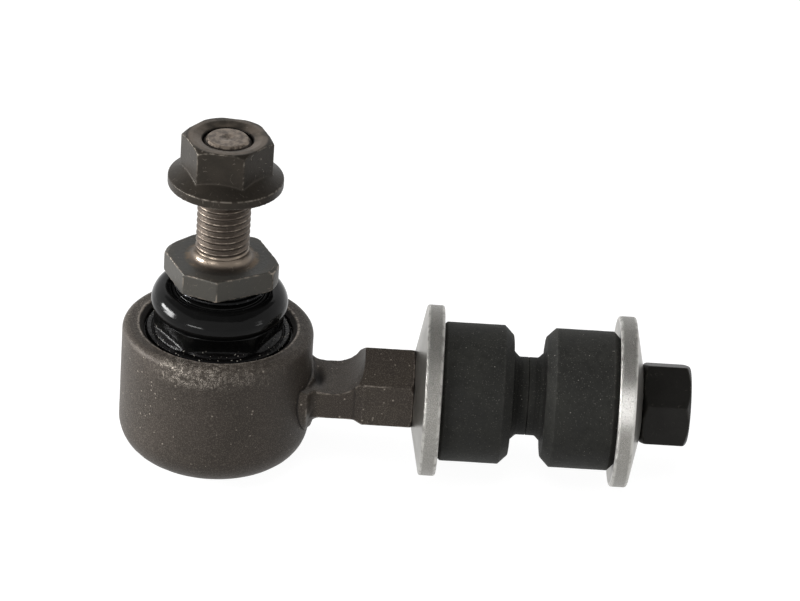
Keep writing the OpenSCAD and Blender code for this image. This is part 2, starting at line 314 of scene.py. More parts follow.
def as_plain_mesh(piece: Piece) -> Piece:
    """Turns what a piece's modifiers make into its own mesh, and removes them.

    Args:
        piece: The piece with its modifiers.

    Returns:
        The same piece.
    """
    bpy.context.view_layer.update()
    shown = piece.evaluated_get(bpy.context.evaluated_depsgraph_get())
    mesh = bpy.data.meshes.new_from_object(shown)
    mesh.name = piece.name
    piece.modifiers.clear()
    piece.data = mesh
    mesh.shade_smooth()
    return piece


def forged(name: str, work: bmesh.types.BMesh, *extra: Piece, voxel: float, passes: int) -> Piece:
    """Joins closed shapes into one skin and softens its edges, as forging and tumbling do.

    Args:
        name: Name of the piece.
        work: The main shape, which is used up.
        extra: Pieces that become part of the skin.
        voxel: Grain of the new skin, in millimetres.
        passes: How often its edges are softened.

    Returns:
        The forged piece.
    """
    for piece in extra:
        work.from_mesh(piece.data)
        bpy.data.objects.remove(piece)
    mesh = bpy.data.meshes.new(name)
    work.to_mesh(mesh)
    work.free()
    piece = new_object(name, mesh)
    skin = piece.modifiers.new("skin", "REMESH")
    skin.mode, skin.voxel_size, skin.use_smooth_shade = "VOXEL", voxel * MM, True
    soften = piece.modifiers.new("soften", "SMOOTH")
    soften.factor, soften.iterations = SOFTENING, passes
    return as_plain_mesh(piece)


# Points and what they keep

def places(piece: Piece) -> np.ndarray:
    """Reads where a piece's points are.

    Args:
        piece: The piece.

    Returns:
        Each point's x, y and z in millimetres from the ball centre.
    """
    flat = np.zeros(len(piece.data.vertices) * 3)
    piece.data.vertices.foreach_get("co", flat)
    return flat.reshape(-1, 3) / MM - (0, 0, BALL_Z)


def move(piece: Piece, spots: np.ndarray) -> Piece:
    """Moves each point of a piece to a new place.

    Args:
        piece: The piece to change.
        spots: Each point's new place in millimetres from the ball centre.

    Returns:
        The same piece.
    """
    piece.data.vertices.foreach_set("co", ((spots + (0, 0, BALL_Z)) * MM).ravel())
    piece.data.update()
    return piece


def edge_ends(piece: Piece) -> np.ndarray:
    """Reads which points a piece's edges join.

    Args:
        piece: The piece.

    Returns:
        One row of first ends and one row of second ends.
    """
    ends = np.zeros(len(piece.data.edges) * 2, int)
    piece.data.edges.foreach_get("vertices", ends)
    return ends.reshape(-1, 2).T


def gathered(ends: np.ndarray, values: np.ndarray) -> np.ndarray:
    """Sums the values of each point's neighbours."""
    a, b = ends
    return np.bincount(a, values[b], len(values)) + np.bincount(b, values[a], len(values))


def melt(piece: Piece, passes: int, weight: np.ndarray) -> None:
    """Evens out a part of the surface, as a weld leaves it.

    Args:
        piece: The piece to change.
        passes: How often each point moves towards the middle of its neighbours.
        weight: How much each point takes part, from none to one.
    """
    ends = edge_ends(piece)
    spots = places(piece)
    count = gathered(ends, np.ones(len(spots)))
    for _ in range(passes):
        total = np.stack([gathered(ends, along) for along in spots.T], -1)
        spots += (total / count[:, None] - spots) * (SOFTENING * weight[:, None])
    move(piece, spots)


def roughen(piece: Piece, depth: float, size: float) -> Piece:
    """Moves the surface in and out a little, as a forged or moulded skin is never quite even.

    Args:
        piece: The piece to change.
        depth: Height of the unevenness in millimetres.
        size: Width of its largest swellings in millimetres.

    Returns:
        The same piece.
    """
    mesh = piece.data
    normals = [n.vector.copy() for n in mesh.vertex_normals]
    for vertex, normal in zip(mesh.vertices, normals):
        swell = noise.fractal(vertex.co / (size * MM), FALL, FINER, LAYERS)
        vertex.co += normal * (swell * depth * MM)
    mesh.update()
    return piece


def ramp(values: np.ndarray, start: float, stop: float) -> np.ndarray:
    """Goes from none at start to one at stop, which may lie on either side of start."""
    return np.clip((values - start) / (stop - start), 0, 1)


def between(values: np.ndarray, low: float, high: float, soft: float) -> np.ndarray:
    """Is one from low to high, and fades to none over the soft distance on both sides."""
    return ramp(values, low - soft, low) * ramp(values, high + soft, high)


def store(piece: Piece, **marks: np.ndarray) -> None:
    """Keeps values on each point, which the piece's finish reads by their names.

    Args:
        piece: The piece.
        marks: A value from none to one for each point, by name.
    """
    for name, values in marks.items():
        layer = piece.data.attributes.new(name, "FLOAT", "POINT")
        layer.data.foreach_set("value", np.clip(values, 0, 1).astype(np.float32))


def mark_edges(piece: Piece, radius: float, blur: int = 1) -> Piece:
    """Stores where the surface turns outwards as edge, for wear, and inwards as hollow, for painted
    shade.

    Args:
        piece: The finished piece.
        radius: Edge rounding, in millimetres, that counts as a full edge.
        blur: How often the marks are spread to their neighbours.

    Returns:
        The same piece.
    """
    spots = places(piece)
    normals = np.zeros(spots.size)
    piece.data.vertex_normals.foreach_get("vector", normals)
    normals = normals.reshape(-1, 3)
    ends = edge_ends(piece)
    a, b = ends
    step = spots[a] - spots[b]
    bend = ((normals[a] - normals[b]) * step).sum(1) / np.maximum((step * step).sum(1), TINY)
    count = gathered(ends, np.ones(len(spots))) + 1
    for name, outwards in (("edge", bend), ("hollow", -bend)):
        mark = np.zeros(len(spots))
        for end in ends:
            np.maximum.at(mark, end, outwards)
        mark = np.clip(mark * radius, 0, 1)
        for _ in range(blur):
            mark = (mark + gathered(ends, mark)) / count
        store(piece, **{name: mark})
    return piece


# What ties pieces to the frame

def paint(piece: Piece, material: Material) -> None:
    """Gives a piece one material all over."""
    piece.data.materials.clear()
    piece.data.materials.append(material)


def refinish(material: Material, *nodes: str) -> None:
    """Gives CAD nodes that stay a better material, in their objects' own slots.

    Args:
        material: The better material.
        nodes: Names of the CAD nodes.
    """
    for node in nodes:
        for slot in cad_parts[node].material_slots:
            slot.material = material
        LOG.info("%s keeps its CAD shape, in %s", node, material.name)


def seat(piece: Piece, material: Material, body: str, slot: str, *nodes: str) -> None:
    """Finishes a piece, lets it ride on its body and hides the CAD nodes that it stands for.

    Args:
        piece: The piece.
        material: Its finish.
        body: CAD body that carries it.
        slot: Not used.
        nodes: CAD nodes that it stands for.
    """
    paint(piece, material)
    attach(piece, body)
    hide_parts(*nodes)
    LOG.info("%s rides on %s with %d faces", piece.name, body, len(piece.data.polygons))


# Finishes

class Surface:
    """A finish while it is laid on: colour, roughness, metal and relief build up in coats."""

    def __init__(self, name: str, colour: str, rough: float, metal: float, **uniform: Any) -> None:
        """Starts from one even coat.

        Args:
            name: Name of the material.
            colour: Hex colour of the even coat.
            rough: Its roughness.
            metal: How metallic it is.
            uniform: Values that are the same all over, by the shader's own socket names.
        """
        self.material = bpy.data.materials.new(name)
        self.tree = empty_tree(self.material)
        self.coats: dict[str, Any] = {"Base Color": linear(colour), "Roughness": rough,
                                      "Metallic": metal}
        sockets = {key.replace("_", " "): value for key, value in uniform.items()}
        shader = add(self.tree, "ShaderNodeBsdfPrincipled", {**self.coats, **sockets})
        self.shader = shader.node
        add(self.tree, "ShaderNodeOutputMaterial", {"Surface": shader})

    def spread(self, size: float, stretch: Triple = (1, 1, 1)) -> Socket:
        """Gives the pattern space in which one unit is a real size.

        Args:
            size: Width of one unit in millimetres.
            stretch: How many times longer it is along x, y and z.

        Returns:
            The place in that space.
        """
        place = add(self.tree, "ShaderNodeTexCoord").node.outputs["Object"]
        scale = [1 / (size * MM * times) for times in stretch]
        return add(self.tree, "ShaderNodeMapping", {"Vector": place, "Scale": scale})

    def mottle(self, size: float, low: float = 0.35, high: float = 0.65, detail: float = 3.0,
               stretch: Triple = (1, 1, 1)) -> Socket:
        """Gives cloudy patches of a real size.

        Args:
            size: Width of a patch in millimetres.
            low: Noise that counts as none.
            high: Noise that counts as full.
            detail: Number of finer layers.
            stretch: How many times longer a patch is along x, y and z.

        Returns:
            Patches from none to full.
        """
        space = self.spread(size, stretch)
        cloud = add(self.tree, "ShaderNodeTexNoise",
                    {"Vector": space, "Scale": 1.0, "Detail": detail})
        return add(self.tree, "ShaderNodeMapRange", {0: cloud, 1: low, 2: high},
                   interpolation_type="SMOOTHSTEP")

    def specks(self, size: float, spacing: float, share: float) -> Socket:
        """Gives scattered round specks.

        Args:
            size: Diameter of the largest speck in millimetres.
            spacing: Width of the cell that may hold one.
            share: Share of the cells that do.

        Returns:
            One on a speck and none elsewhere.
        """
        cell = add(self.tree, "ShaderNodeTexVoronoi",
                   {"Vector": self.spread(spacing), "Scale": 1.0, "Randomness": 1.0})
        colour = cell.node.outputs["Color"]
        chance = add(self.tree, "ShaderNodeSeparateXYZ", {0: colour}).node.outputs
        reach = self.together(chance["Y"], size / (2 * spacing))
        near = add(self.tree, "ShaderNodeMath", {0: cell, 1: reach}, operation="LESS_THAN")
        chosen = add(self.tree, "ShaderNodeMath", {0: chance["X"], 1: share}, operation="LESS_THAN")
        return self.together(near, chosen)

    def scratches(self, size: float, width: float) -> Socket:
        """Gives hairlines along the contours of a slow pattern.

        Args:
            size: Distance over which a hairline bends, in millimetres.
            width: Share of the pattern that a hairline takes.

        Returns:
            One on a hairline and none elsewhere.
        """
        slow = add(self.tree, "ShaderNodeTexNoise",
                   {"Vector": self.spread(size), "Scale": 1.0, "Detail": 1.0})
        return add(self.tree, "ShaderNodeMath", {0: slow, 1: 0.5, 2: width}, operation="COMPARE")

    def zone(self, name: str, low: float = 0.0, high: float = 1.0) -> Socket:
        """Reads a value that the piece keeps on its points.

        Args:
            name: The value's name.
            low: Value that counts as none.
            high: Value that counts as full.

        Returns:
            The zone, from none to full.
        """
        kept = add(self.tree, "ShaderNodeAttribute", attribute_name=name).node.outputs["Fac"]
        return add(self.tree, "ShaderNodeMapRange", {0: kept, 1: low, 2: high},
                   interpolation_type="SMOOTHSTEP")

    def together(self, *masks: Socket | float) -> Socket:
        """Shows only where all masks show, as strongly as all of them allow.

        Args:
            masks: Where it may show, from none to full; a number thins it all over.

        Returns:
            The masks' product.
        """
        whole = masks[0]
        for mask in masks[1:]:
            whole = add(self.tree, "ShaderNodeMath", {0: whole, 1: mask}, operation="MULTIPLY")
        return whole

    def lay(self, *masks: Socket, share: float = 1.0, colour: str | None = None,
            rough: float | None = None, metal: float | None = None) -> None:
        """Lays a further coat where all masks show.

        Args:
            masks: Where it lies, from none to full.
            share: How thick it is at most.
            colour: Hex colour of the coat.
            rough: Its roughness.
            metal: How metallic it is.
        """
        mask = self.together(*masks, share) if share < 1 else self.together(*masks)
        if colour is not None:
            inputs = {0: mask, 6: self.coats["Base Color"], 7: linear(colour)}
            self.coats["Base Color"] = add(self.tree, "ShaderNodeMix", inputs, data_type="RGBA")
        for key, value in (("Roughness", rough), ("Metallic", metal)):
            if value is not None:
                inputs = {0: mask, 2: self.coats[key], 3: value}
                self.coats[key] = add(self.tree, "ShaderNodeMix", inputs)

    def finish(self, *relief: tuple[Socket, float]) -> Material:
        """Links the coats to the shader.

        Args:
            relief: Height pattern and its depth in millimetres, from the coarsest to the finest.

        Returns:
            The finished material.
        """
        for key, value in self.coats.items():
            if isinstance(value, Socket):
                self.tree.links.new(value, self.shader.inputs[key])
        below: dict[str, Socket] = {}
        for height, depth in relief:
            inputs = {"Height": height, "Distance": depth * MM, **below}
            below = {"Normal": add(self.tree, "ShaderNodeBump", inputs)}
        self.tree.links.new(below["Normal"], self.shader.inputs["Normal"])
        return self.material


@dataclass(frozen=True)
class PhosphatedForging:
    """Forged steel under manganese phosphate."""

    name: str
    coat: str = "#38332e"
    thin: str = "#403a35"
    deep: str = "#2e2a27"
    grain: str = "#8a8177"
    glint: str = "#968d82"
    bare: str = "#9a9187"
    # Pale tone of the painted sheen on the shoulder.
    rubbed: str = "#b0a79c"
    drawn: str = "#a89f94"
    # Painted shade for recesses.
    grime: str = "#161412"
    # Real crystals are about 0.02 mm wide; they are drawn ten times coarser, or they wouldn't show.
    crystal: float = 0.2

    def material(self) -> Material:
        """Lays phosphate, grains, worn edges, painted shade and painted sheen where lip rolling
        burnished.

        Returns:
            The finished material.
        """
        # The crystals scatter light: dull brown-black, with a soft sheen and pale glints where
        # crystals stand proud.
        s = Surface(self.name, self.coat, rough=0.5, metal=0.3, Specular_IOR_Level=0.2)
        s.lay(s.mottle(7.0), share=0.6, colour=self.thin)
        s.lay(s.mottle(1.8, 0.5, 0.75), share=0.3, colour=self.deep)
        grit = s.mottle(self.crystal, 0.45, 0.75, detail=1.0)
        s.lay(grit, share=0.3, colour=self.grain)
        s.lay(s.specks(0.4, spacing=0.9, share=0.3), share=0.8, colour=self.glint, rough=0.4)
        # Painted shade in hollows.
        s.lay(s.zone("hollow", 0.08, 0.6), share=0.7, colour=self.deep, rough=0.7)
        s.lay(s.zone("edge", 0.5, 0.95), s.mottle(0.9, 0.4, 0.62), s.mottle(5.0, 0.4, 0.6),
              share=0.75, colour=self.bare, rough=0.4)
        s.lay(s.zone("burnish"), share=0.4, rough=0.42, metal=0.5)
        # Painted sheen: pale fine grain on the shoulder, strongest at the front left.
        s.lay(s.zone("burnish", 0.05, 0.9), s.mottle(0.15, 0.48, 0.62, detail=2.0),
              s.mottle(0.9, 0.35, 0.62), colour=self.rubbed, rough=0.38)
        # Pale hairlines drawn up the shoulder, within the painted sheen's zone.
        s.lay(s.zone("burnish", 0.0, 0.5), s.mottle(0.28, 0.63, 0.7, detail=1.0, stretch=(1, 1, 6)),
              s.mottle(4.0, 0.45, 0.6), share=0.7, colour=self.drawn, rough=0.38)
        s.lay(s.zone("lip"), s.mottle(0.5, 0.35, 0.6, detail=2.0),
              share=0.8, colour=self.bare, rough=0.42, metal=0.6)
        # Painted shade in recesses: inside the rolled lip, in the neck's pit and where the neck
        # meets the cup.
        s.lay(s.zone("grime"), share=0.9, colour=self.grime, rough=0.7, metal=0.0)
        return s.finish((s.mottle(1.6, 0.2, 0.8), 0.03), (grit, 0.02))


@dataclass(frozen=True)
class RolledStud:
    """Cold-forged bare steel with a rolled thread, heated where the collar was upset."""

    name: str
    coat: str = "#5c534b"
    thin: str = "#6a6057"
    dark: str = "#48423c"
    collar: str = "#42413d"
    blue: str = "#3d3d3b"
    straw: str = "#7d6444"
    foot: str = "#7d7266"
    # Colour of painted shade: the fillet's front, the end's rim and the thread's roots.
    soot: str = "#26221f"
    bright: str = "#958a7e"
    end: str = "#8d8175"
    # The rolling grain is finer than 0.1 mm; it is drawn three times wider so that it shows.
    grain: float = 0.3

    def material(self) -> Material:
        """Lays satin steel, heat tints round the fillet, painted shade and worn crests.

        Returns:
            The finished material.
        """
        # Rolling burnishes steel: brown-grey satin with long soft highlights and bright crests.
        # The dark in the roots is painted shade.
        s = Surface(self.name, self.coat, rough=0.4, metal=0.8, Specular_IOR_Level=0.3)
        s.lay(s.mottle(2.6), share=0.5, colour=self.thin)
        grain = s.mottle(self.grain, 0.4, 0.7, detail=2.0)
        s.lay(grain, share=0.35, colour=self.dark)
        s.lay(s.zone("collar"), share=0.9, colour=self.collar, rough=0.46, metal=0.5)
        s.lay(s.zone("blue"), s.mottle(3.0, 0.2, 0.6), share=0.7, colour=self.blue, rough=0.4)
        s.lay(s.zone("straw"), s.mottle(2.2, 0.35, 0.6), share=0.45, colour=self.straw, rough=0.36)
        s.lay(s.zone("foot"), share=0.7, colour=self.foot, rough=0.28, metal=1.0)
        # Painted shade: a dark reflection on the fillet's front, and shade round the stud's end in
        # the nut's mouth.
        s.lay(s.zone("soot"), share=0.85, colour=self.soot, rough=0.5)
        # Painted shade in the thread's roots and other hollows.
        s.lay(s.zone("hollow", 0.15, 0.8), share=0.55, colour=self.soot, rough=0.6)
        s.lay(s.zone("edge", 0.5, 0.95), s.mottle(1.0, 0.4, 0.62), s.mottle(4.0, 0.38, 0.6),
              share=0.75, colour=self.bright, rough=0.34)
        s.lay(s.zone("end"), s.mottle(0.9, 0.3, 0.65), colour=self.end, rough=0.42)
        s.lay(s.scratches(2.5, width=0.006), s.mottle(0.9, 0.5, 0.65),
              share=0.4, colour=self.bright)
        return s.finish((s.mottle(0.7, 0.2, 0.8), 0.015), (grain, 0.008))


@dataclass(frozen=True)
class BlackenedNut:
    """A cold-formed nut under a thin conversion coat."""

    name: str
    coat: str = "#2f2b26"
    thin: str = "#38332d"
    bare: str = "#8f877d"
    crown: str = "#6e645a"
    mouth: str = "#141210"
    rough: float = 0.42
    metal: float = 0.45
    wear: float = 0.75
    # The coat's grain is about 0.01 mm wide; it is drawn 25 times wider so that it shows.
    grain: float = 0.25

    def material(self) -> Material:
        """Lays black coat, hairlines, nicks, worn edges, a lighter crown and painted shade in the
        mouth.

        Returns:
            The finished material.
        """
        # The coat is thin and smooth: charcoal with a soft sheen on each flat, and bare steel along
        # rubbed edges.
        s = Surface(self.name, self.coat, self.rough, self.metal, Specular_IOR_Level=0.15)
        s.lay(s.mottle(3.5), share=0.6, colour=self.thin)
        grain = s.mottle(self.grain, 0.45, 0.75, detail=1.0)
        s.lay(grain, share=0.3, colour=self.thin)
        s.lay(s.scratches(2.2, width=0.006), s.mottle(1.0, 0.52, 0.66),
              share=0.6 * self.wear, colour=self.bare)
        s.lay(s.specks(0.28, spacing=1.6, share=0.2), share=0.7 * self.wear, colour=self.bare)
        s.lay(s.zone("edge", 0.5, 0.95), s.mottle(1.0, 0.36, 0.6), s.mottle(4.0, 0.4, 0.6),
              share=0.6 * self.wear, colour=self.bare, rough=0.38)
        # A lighter, more metallic crown on the top face.
        s.lay(s.zone("crown"), s.mottle(4.0, 0.25, 0.6), share=0.85, colour=self.crown, metal=0.7)
        # Painted shade in the mouth round the stud's end.
        s.lay(s.zone("mouth"), share=0.9, colour=self.mouth, rough=0.6)
        return s.finish((s.mottle(1.2, 0.2, 0.8), 0.015), (grain, 0.008))


@dataclass(frozen=True)
class ZincPlate:
    """Stamped steel under zinc, passivated."""

    name: str
    coat: str = "#a3a19c"
    dull: str = "#8c8a85"
    sheared: str = "#94928d"
    pit: str = "#4b4a47"
    bright: str = "#c4c2bd"
    polish: str = "#f2f0ec"
    # The sheared grain is about 0.1 mm wide; it is drawn twice as wide so that it shows.
    grain: float = 0.18

    def material(self) -> Material:
        """Lays the zinc, the sheared grain of the rim, bright worn edges and a painted highlight.

        Returns:
            The finished material.
        """
        # Zinc is a grey, slightly cloudy metal: soft reflections on the cone, and a torn, glinting
        # grain on the rim.
        s = Surface(self.name, self.coat, rough=0.34, metal=0.9)
        s.lay(s.mottle(5.0), share=0.6, colour=self.dull, rough=0.4)
        rim = s.zone("rim")
        s.lay(rim, share=0.8, colour=self.sheared, rough=0.42)
        grain = s.mottle(self.grain, 0.42, 0.62, detail=2.0)
        s.lay(rim, grain, share=0.65, colour=self.pit, rough=0.5)
        s.lay(rim, s.mottle(self.grain, 0.56, 0.68, detail=1.0),
              share=0.5, colour=self.bright, rough=0.3)
        # Painted highlight: a near-white patch on the front of the outer washer's rim.
        s.lay(s.zone("polish"), s.mottle(0.4, 0.1, 0.5), share=0.9, colour=self.polish, rough=0.4)
        s.lay(s.zone("edge", 0.45, 0.9), s.mottle(1.5, 0.3, 0.6),
              share=0.7, colour=self.bright, rough=0.28)
        return s.finish((s.mottle(1.5, 0.2, 0.8), 0.01), (s.together(rim, grain), 0.04))


@dataclass(frozen=True)
class GlossyBoot:
    """Moulded chloroprene, wiped and greasy."""

    name: str
    coat: str = "#0b0b0b"
    wiped: str = "#101010"
    dull: str = "#0d0d0c"
    grease: str = "#090808"
    grit: str = "#7c7870"

    def material(self) -> Material:
        """Lays gloss rubber, the duller band under the bulge and grease with grit in the mouth.

        Returns:
            The finished material.
        """
        # A polished mould gives deep black with sharp lamp reflections; grease and grit dull it
        # down in the mouth.
        s = Surface(self.name, self.coat, rough=0.12, metal=0.0, Specular_IOR_Level=0.13)
        s.lay(s.mottle(2.5, 0.5, 0.8), colour=self.wiped, rough=0.18)
        s.lay(s.zone("band"), s.mottle(1.8, 0.35, 0.7), colour=self.dull, rough=0.3)
        mouth = s.zone("mouth")
        s.lay(mouth, share=0.9, colour=self.grease, rough=0.24)
        s.lay(mouth, s.specks(0.36, spacing=0.5, share=0.35), colour=self.grit, rough=0.4)
        lumps = s.together(mouth, s.mottle(0.5, 0.3, 0.7))
        return s.finish((s.mottle(2.6, 0.2, 0.8), 0.02), (lumps, 0.04))


@dataclass(frozen=True)
class DustyRubber:
    """Moulded natural rubber filled with carbon black."""

    name: str
    coat: str = "#282826"
    bloom: str = "#31312e"
    dark: str = "#1d1d1b"
    rubbed: str = "#42413e"
    dust: str = "#918e87"
    # Dust is a few hundredths of a millimetre across; it is drawn far coarser so that it shows.
    dust_speck: float = 0.27
    dust_film: float = 0.25

    def material(self) -> Material:
        """Lays matt rubber, its bloom, worn lighter edges, painted shade in hollows and dust.

        Returns:
            The finished material.
        """
        # A shot-blasted mould and wax bloom give a matt, faintly chalky charcoal with pale specks
        # of dust.
        s = Surface(self.name, self.coat, rough=0.68, metal=0.0, Specular_IOR_Level=0.2)
        s.lay(s.mottle(6.0), share=0.8, colour=self.bloom, rough=0.76)
        s.lay(s.mottle(1.4, 0.45, 0.75), share=0.5, colour=self.dark)
        # Painted shade in hollows.
        s.lay(s.zone("hollow", 0.03, 0.4), share=0.8, colour=self.dark)
        s.lay(s.zone("edge", 0.3, 0.9), s.mottle(1.5, 0.35, 0.65), share=0.35, colour=self.rubbed)
        s.lay(s.specks(self.dust_speck, spacing=1.1, share=0.3), share=0.8, colour=self.dust)
        s.lay(s.mottle(self.dust_film, 0.62, 0.8, detail=1.0), share=0.3, colour=self.dust)
        pores = s.mottle(0.2, 0.3, 0.7, detail=1.0)
        return s.finish((s.mottle(0.9, 0.2, 0.8), 0.02), (pores, 0.01))


@dataclass(frozen=True)
class MouldedAcetal:
    """Injection-moulded acetal under a film of grease."""

    name: str
    coat: str = "#d8d3c3"
    cloud: str = "#c6bfab"
    wet: str = "#b7a98a"

    def material(self) -> Material:
        """Lays ivory plastic with flow clouds and a greasy sheen.

        Returns:
            The finished material.
        """
        # Acetal is waxy: even ivory with faint flow clouds and wet patches.
        s = Surface(self.name, self.coat, rough=0.38, metal=0.0, IOR=1.48)
        s.lay(s.mottle(3.0), colour=self.cloud, rough=0.24)
        s.lay(s.mottle(6.0, 0.55, 0.75), share=0.5, colour=self.wet, rough=0.18)
        return s.finish((s.mottle(0.7, 0.2, 0.8), 0.01))


@dataclass(frozen=True)
class OiledSpring:
    """Hardened strip or wire, quenched in oil."""

    name: str
    coat: str = "#3a3c3f"
    film: str = "#26272a"
    hairline: str = "#85868a"

    def material(self) -> Material:
        """Lays tempered steel, its oil film and hairlines.

        Returns:
            The finished material.
        """
        # The oil film keeps it blue-black and wet, with fine hairlines from rolling.
        s = Surface(self.name, self.coat, rough=0.36, metal=0.85)
        s.lay(s.mottle(2.0), colour=self.film, rough=0.22)
        s.lay(s.scratches(1.6, width=0.008), s.mottle(0.6, 0.45, 0.6),
              share=0.5, colour=self.hairline)
        return s.finish((s.mottle(0.4, 0.3, 0.7), 0.01))


# Threads

@dataclass(frozen=True)
class ThreadSizes:
    """Sizes of one threaded end, in millimetres, and the steps along it."""

    length: float
    plain: float
    chamfer: float
    rows: int
    radius: float = 5.0
    depth: float = 0.45
    pitch: float = 1.25
    mark_radius: float = 1.5
    mark_depth: float = 0.3


class RolledThread:
    """Geometry Nodes tree for a closed threaded end.

    It has a smooth shank, a rolled helix, a chamfer, an end face and a centre mark.
    """

    SIZES = ("Length", "Radius", "Depth", "Pitch", "Plain", "Chamfer", "Mark Radius", "Mark Depth")
    STEPS_ROUND = 97
    # Share of the sheet that closes each end.
    CAP = 0.06
    # Steepness of the flank, flat share of the crest, and softness of the crest and of the root.
    FLANK, CREST, CREST_ROUND, ROOT_ROUND = 2.5, 0.12, 0.1, 0.25
    # A flat sheet is wound up: X runs once round, and Y from the foot's middle over the side to the
    # end's middle.
    RULE = (
        ("turn", "ADD", "X", 0.5), ("row", "ADD", "Y", 0.5),
        ("foot", "DIVIDE", "row", CAP), ("foot", "MINIMUM", "foot", 1.0),
        ("end", "SUBTRACT", 1.0, "row"), ("end", "DIVIDE", "end", CAP),
        ("end", "MINIMUM", "end", 1.0),
        ("climb", "SUBTRACT", "row", CAP), ("climb", "DIVIDE", "climb", 1 - 2 * CAP),
        ("climb", "MAXIMUM", "climb", 0.0), ("climb", "MINIMUM", "climb", 1.0),
        ("height", "MULTIPLY", "climb", "Length"),
        ("wind", "DIVIDE", "height", "Pitch"), ("wind", "SUBTRACT", "wind", "turn"),
        ("groove", "PINGPONG", "wind", 0.5), ("groove", "MULTIPLY_ADD", "groove", FLANK, -CREST),
        ("groove", "SMOOTH_MAX", "groove", 0.0, CREST_ROUND),
        ("groove", "SMOOTH_MIN", "groove", 1.0, ROOT_ROUND),
        ("fade", "SUBTRACT", "height", "Plain"), ("fade", "DIVIDE", "fade", "Pitch"),
        ("fade", "MAXIMUM", "fade", 0.0), ("fade", "MINIMUM", "fade", 1.0),
        ("groove", "MULTIPLY", "groove", "fade"), ("groove", "MULTIPLY", "groove", "Depth"),
        ("cut", "SUBTRACT", "Radius", "groove"),
        ("cone", "SUBTRACT", "Radius", "Chamfer"), ("cone", "ADD", "cone", "Length"),
        ("cone", "SUBTRACT", "cone", "height"),
        ("radius", "MINIMUM", "cut", "cone"),
        ("radius", "MULTIPLY", "radius", "foot"), ("radius", "MULTIPLY", "radius", "end"),
        ("dip", "DIVIDE", "radius", "Mark Radius"), ("dip", "SUBTRACT", 1.0, "dip"),
        ("dip", "MAXIMUM", "dip", 0.0), ("dip", "MULTIPLY", "dip", "Mark Depth"),
        ("top", "GREATER_THAN", "row", 0.5), ("dip", "MULTIPLY", "dip", "top"),
        ("z", "SUBTRACT", "height", "dip"),
        ("angle", "MULTIPLY", "turn", FULL_TURN), ("x", "COSINE", "angle"), ("y", "SINE", "angle"),
        ("x", "MULTIPLY", "x", "radius"), ("y", "MULTIPLY", "y", "radius"),
    )

    def __init__(self) -> None:
        """Builds the tree with a named input for each size."""
        self.tree = tree = bpy.data.node_groups.new("rolled_thread", "GeometryNodeTree")
        sockets = [(name, "Float") for name in self.SIZES]
        for name, kind in [*sockets, ("Rows", "Int"), ("Material", "Material")]:
            tree.interface.new_socket(name, in_out="INPUT", socket_type="NodeSocket" + kind)
        tree.interface.new_socket("Geometry", in_out="OUTPUT", socket_type="NodeSocketGeometry")
        given = add(tree, "NodeGroupInput").node.outputs
        sheet = add(tree, "GeometryNodeMeshGrid",
                    {"Size X": 1.0, "Size Y": 1.0, "Vertices X": self.STEPS_ROUND,
                     "Vertices Y": given["Rows"]})
        on_sheet = add(tree, "GeometryNodeInputPosition")
        flat = add(tree, "ShaderNodeSeparateXYZ", {0: on_sheet}).node.outputs
        known: dict[Any, Any] = {name: given[name] for name in self.SIZES}
        known.update(X=flat["X"], Y=flat["Y"])
        for name, operation, *terms in self.RULE:
            inputs = {i: known.get(term, term) for i, term in enumerate(terms)}
            known[name] = add(tree, "ShaderNodeMath", inputs, operation=operation)
        spot = add(tree, "ShaderNodeCombineXYZ", {i: known[name] for i, name in enumerate("xyz")})
        bent = add(tree, "GeometryNodeSetPosition", {"Geometry": sheet, "Position": spot})
        closed = add(tree, "GeometryNodeMergeByDistance", {"Geometry": bent, "Distance": MERGE})
        whole = add(tree, "GeometryNodeRealizeInstances", {"Geometry": closed})
        dressed = add(tree, "GeometryNodeSetMaterial",
                      {"Geometry": whole, "Material": given["Material"]})
        add(tree, "NodeGroupOutput", {0: dressed})

    def make(self, name: str, sizes: ThreadSizes, material: Material, place: Matrix) -> Piece:
        """Makes one threaded end as a plain mesh.

        Args:
            name: Name of the piece.
            sizes: Its sizes.
            material: Its finish.
            place: Where the foot of the thread stands and which way it runs.

        Returns:
            The threaded piece.
        """
        piece = new_object(name, bpy.data.meshes.new(name))
        nodes = piece.modifiers.new("thread", "NODES")
        nodes.node_group = self.tree
        values: dict[str, Any] = {key.replace("_", " ").title(): size * MM
                                  for key, size in vars(sizes).items()}
        values.update(Rows=sizes.rows, Material=material)
        for item in self.tree.interface.items_tree:
            if item.in_out == "INPUT":
                nodes[item.identifier] = values[item.name]
        as_plain_mesh(piece)
        mend(piece.data)
        piece.data.transform(place)
        return piece


# Sub-assemblies

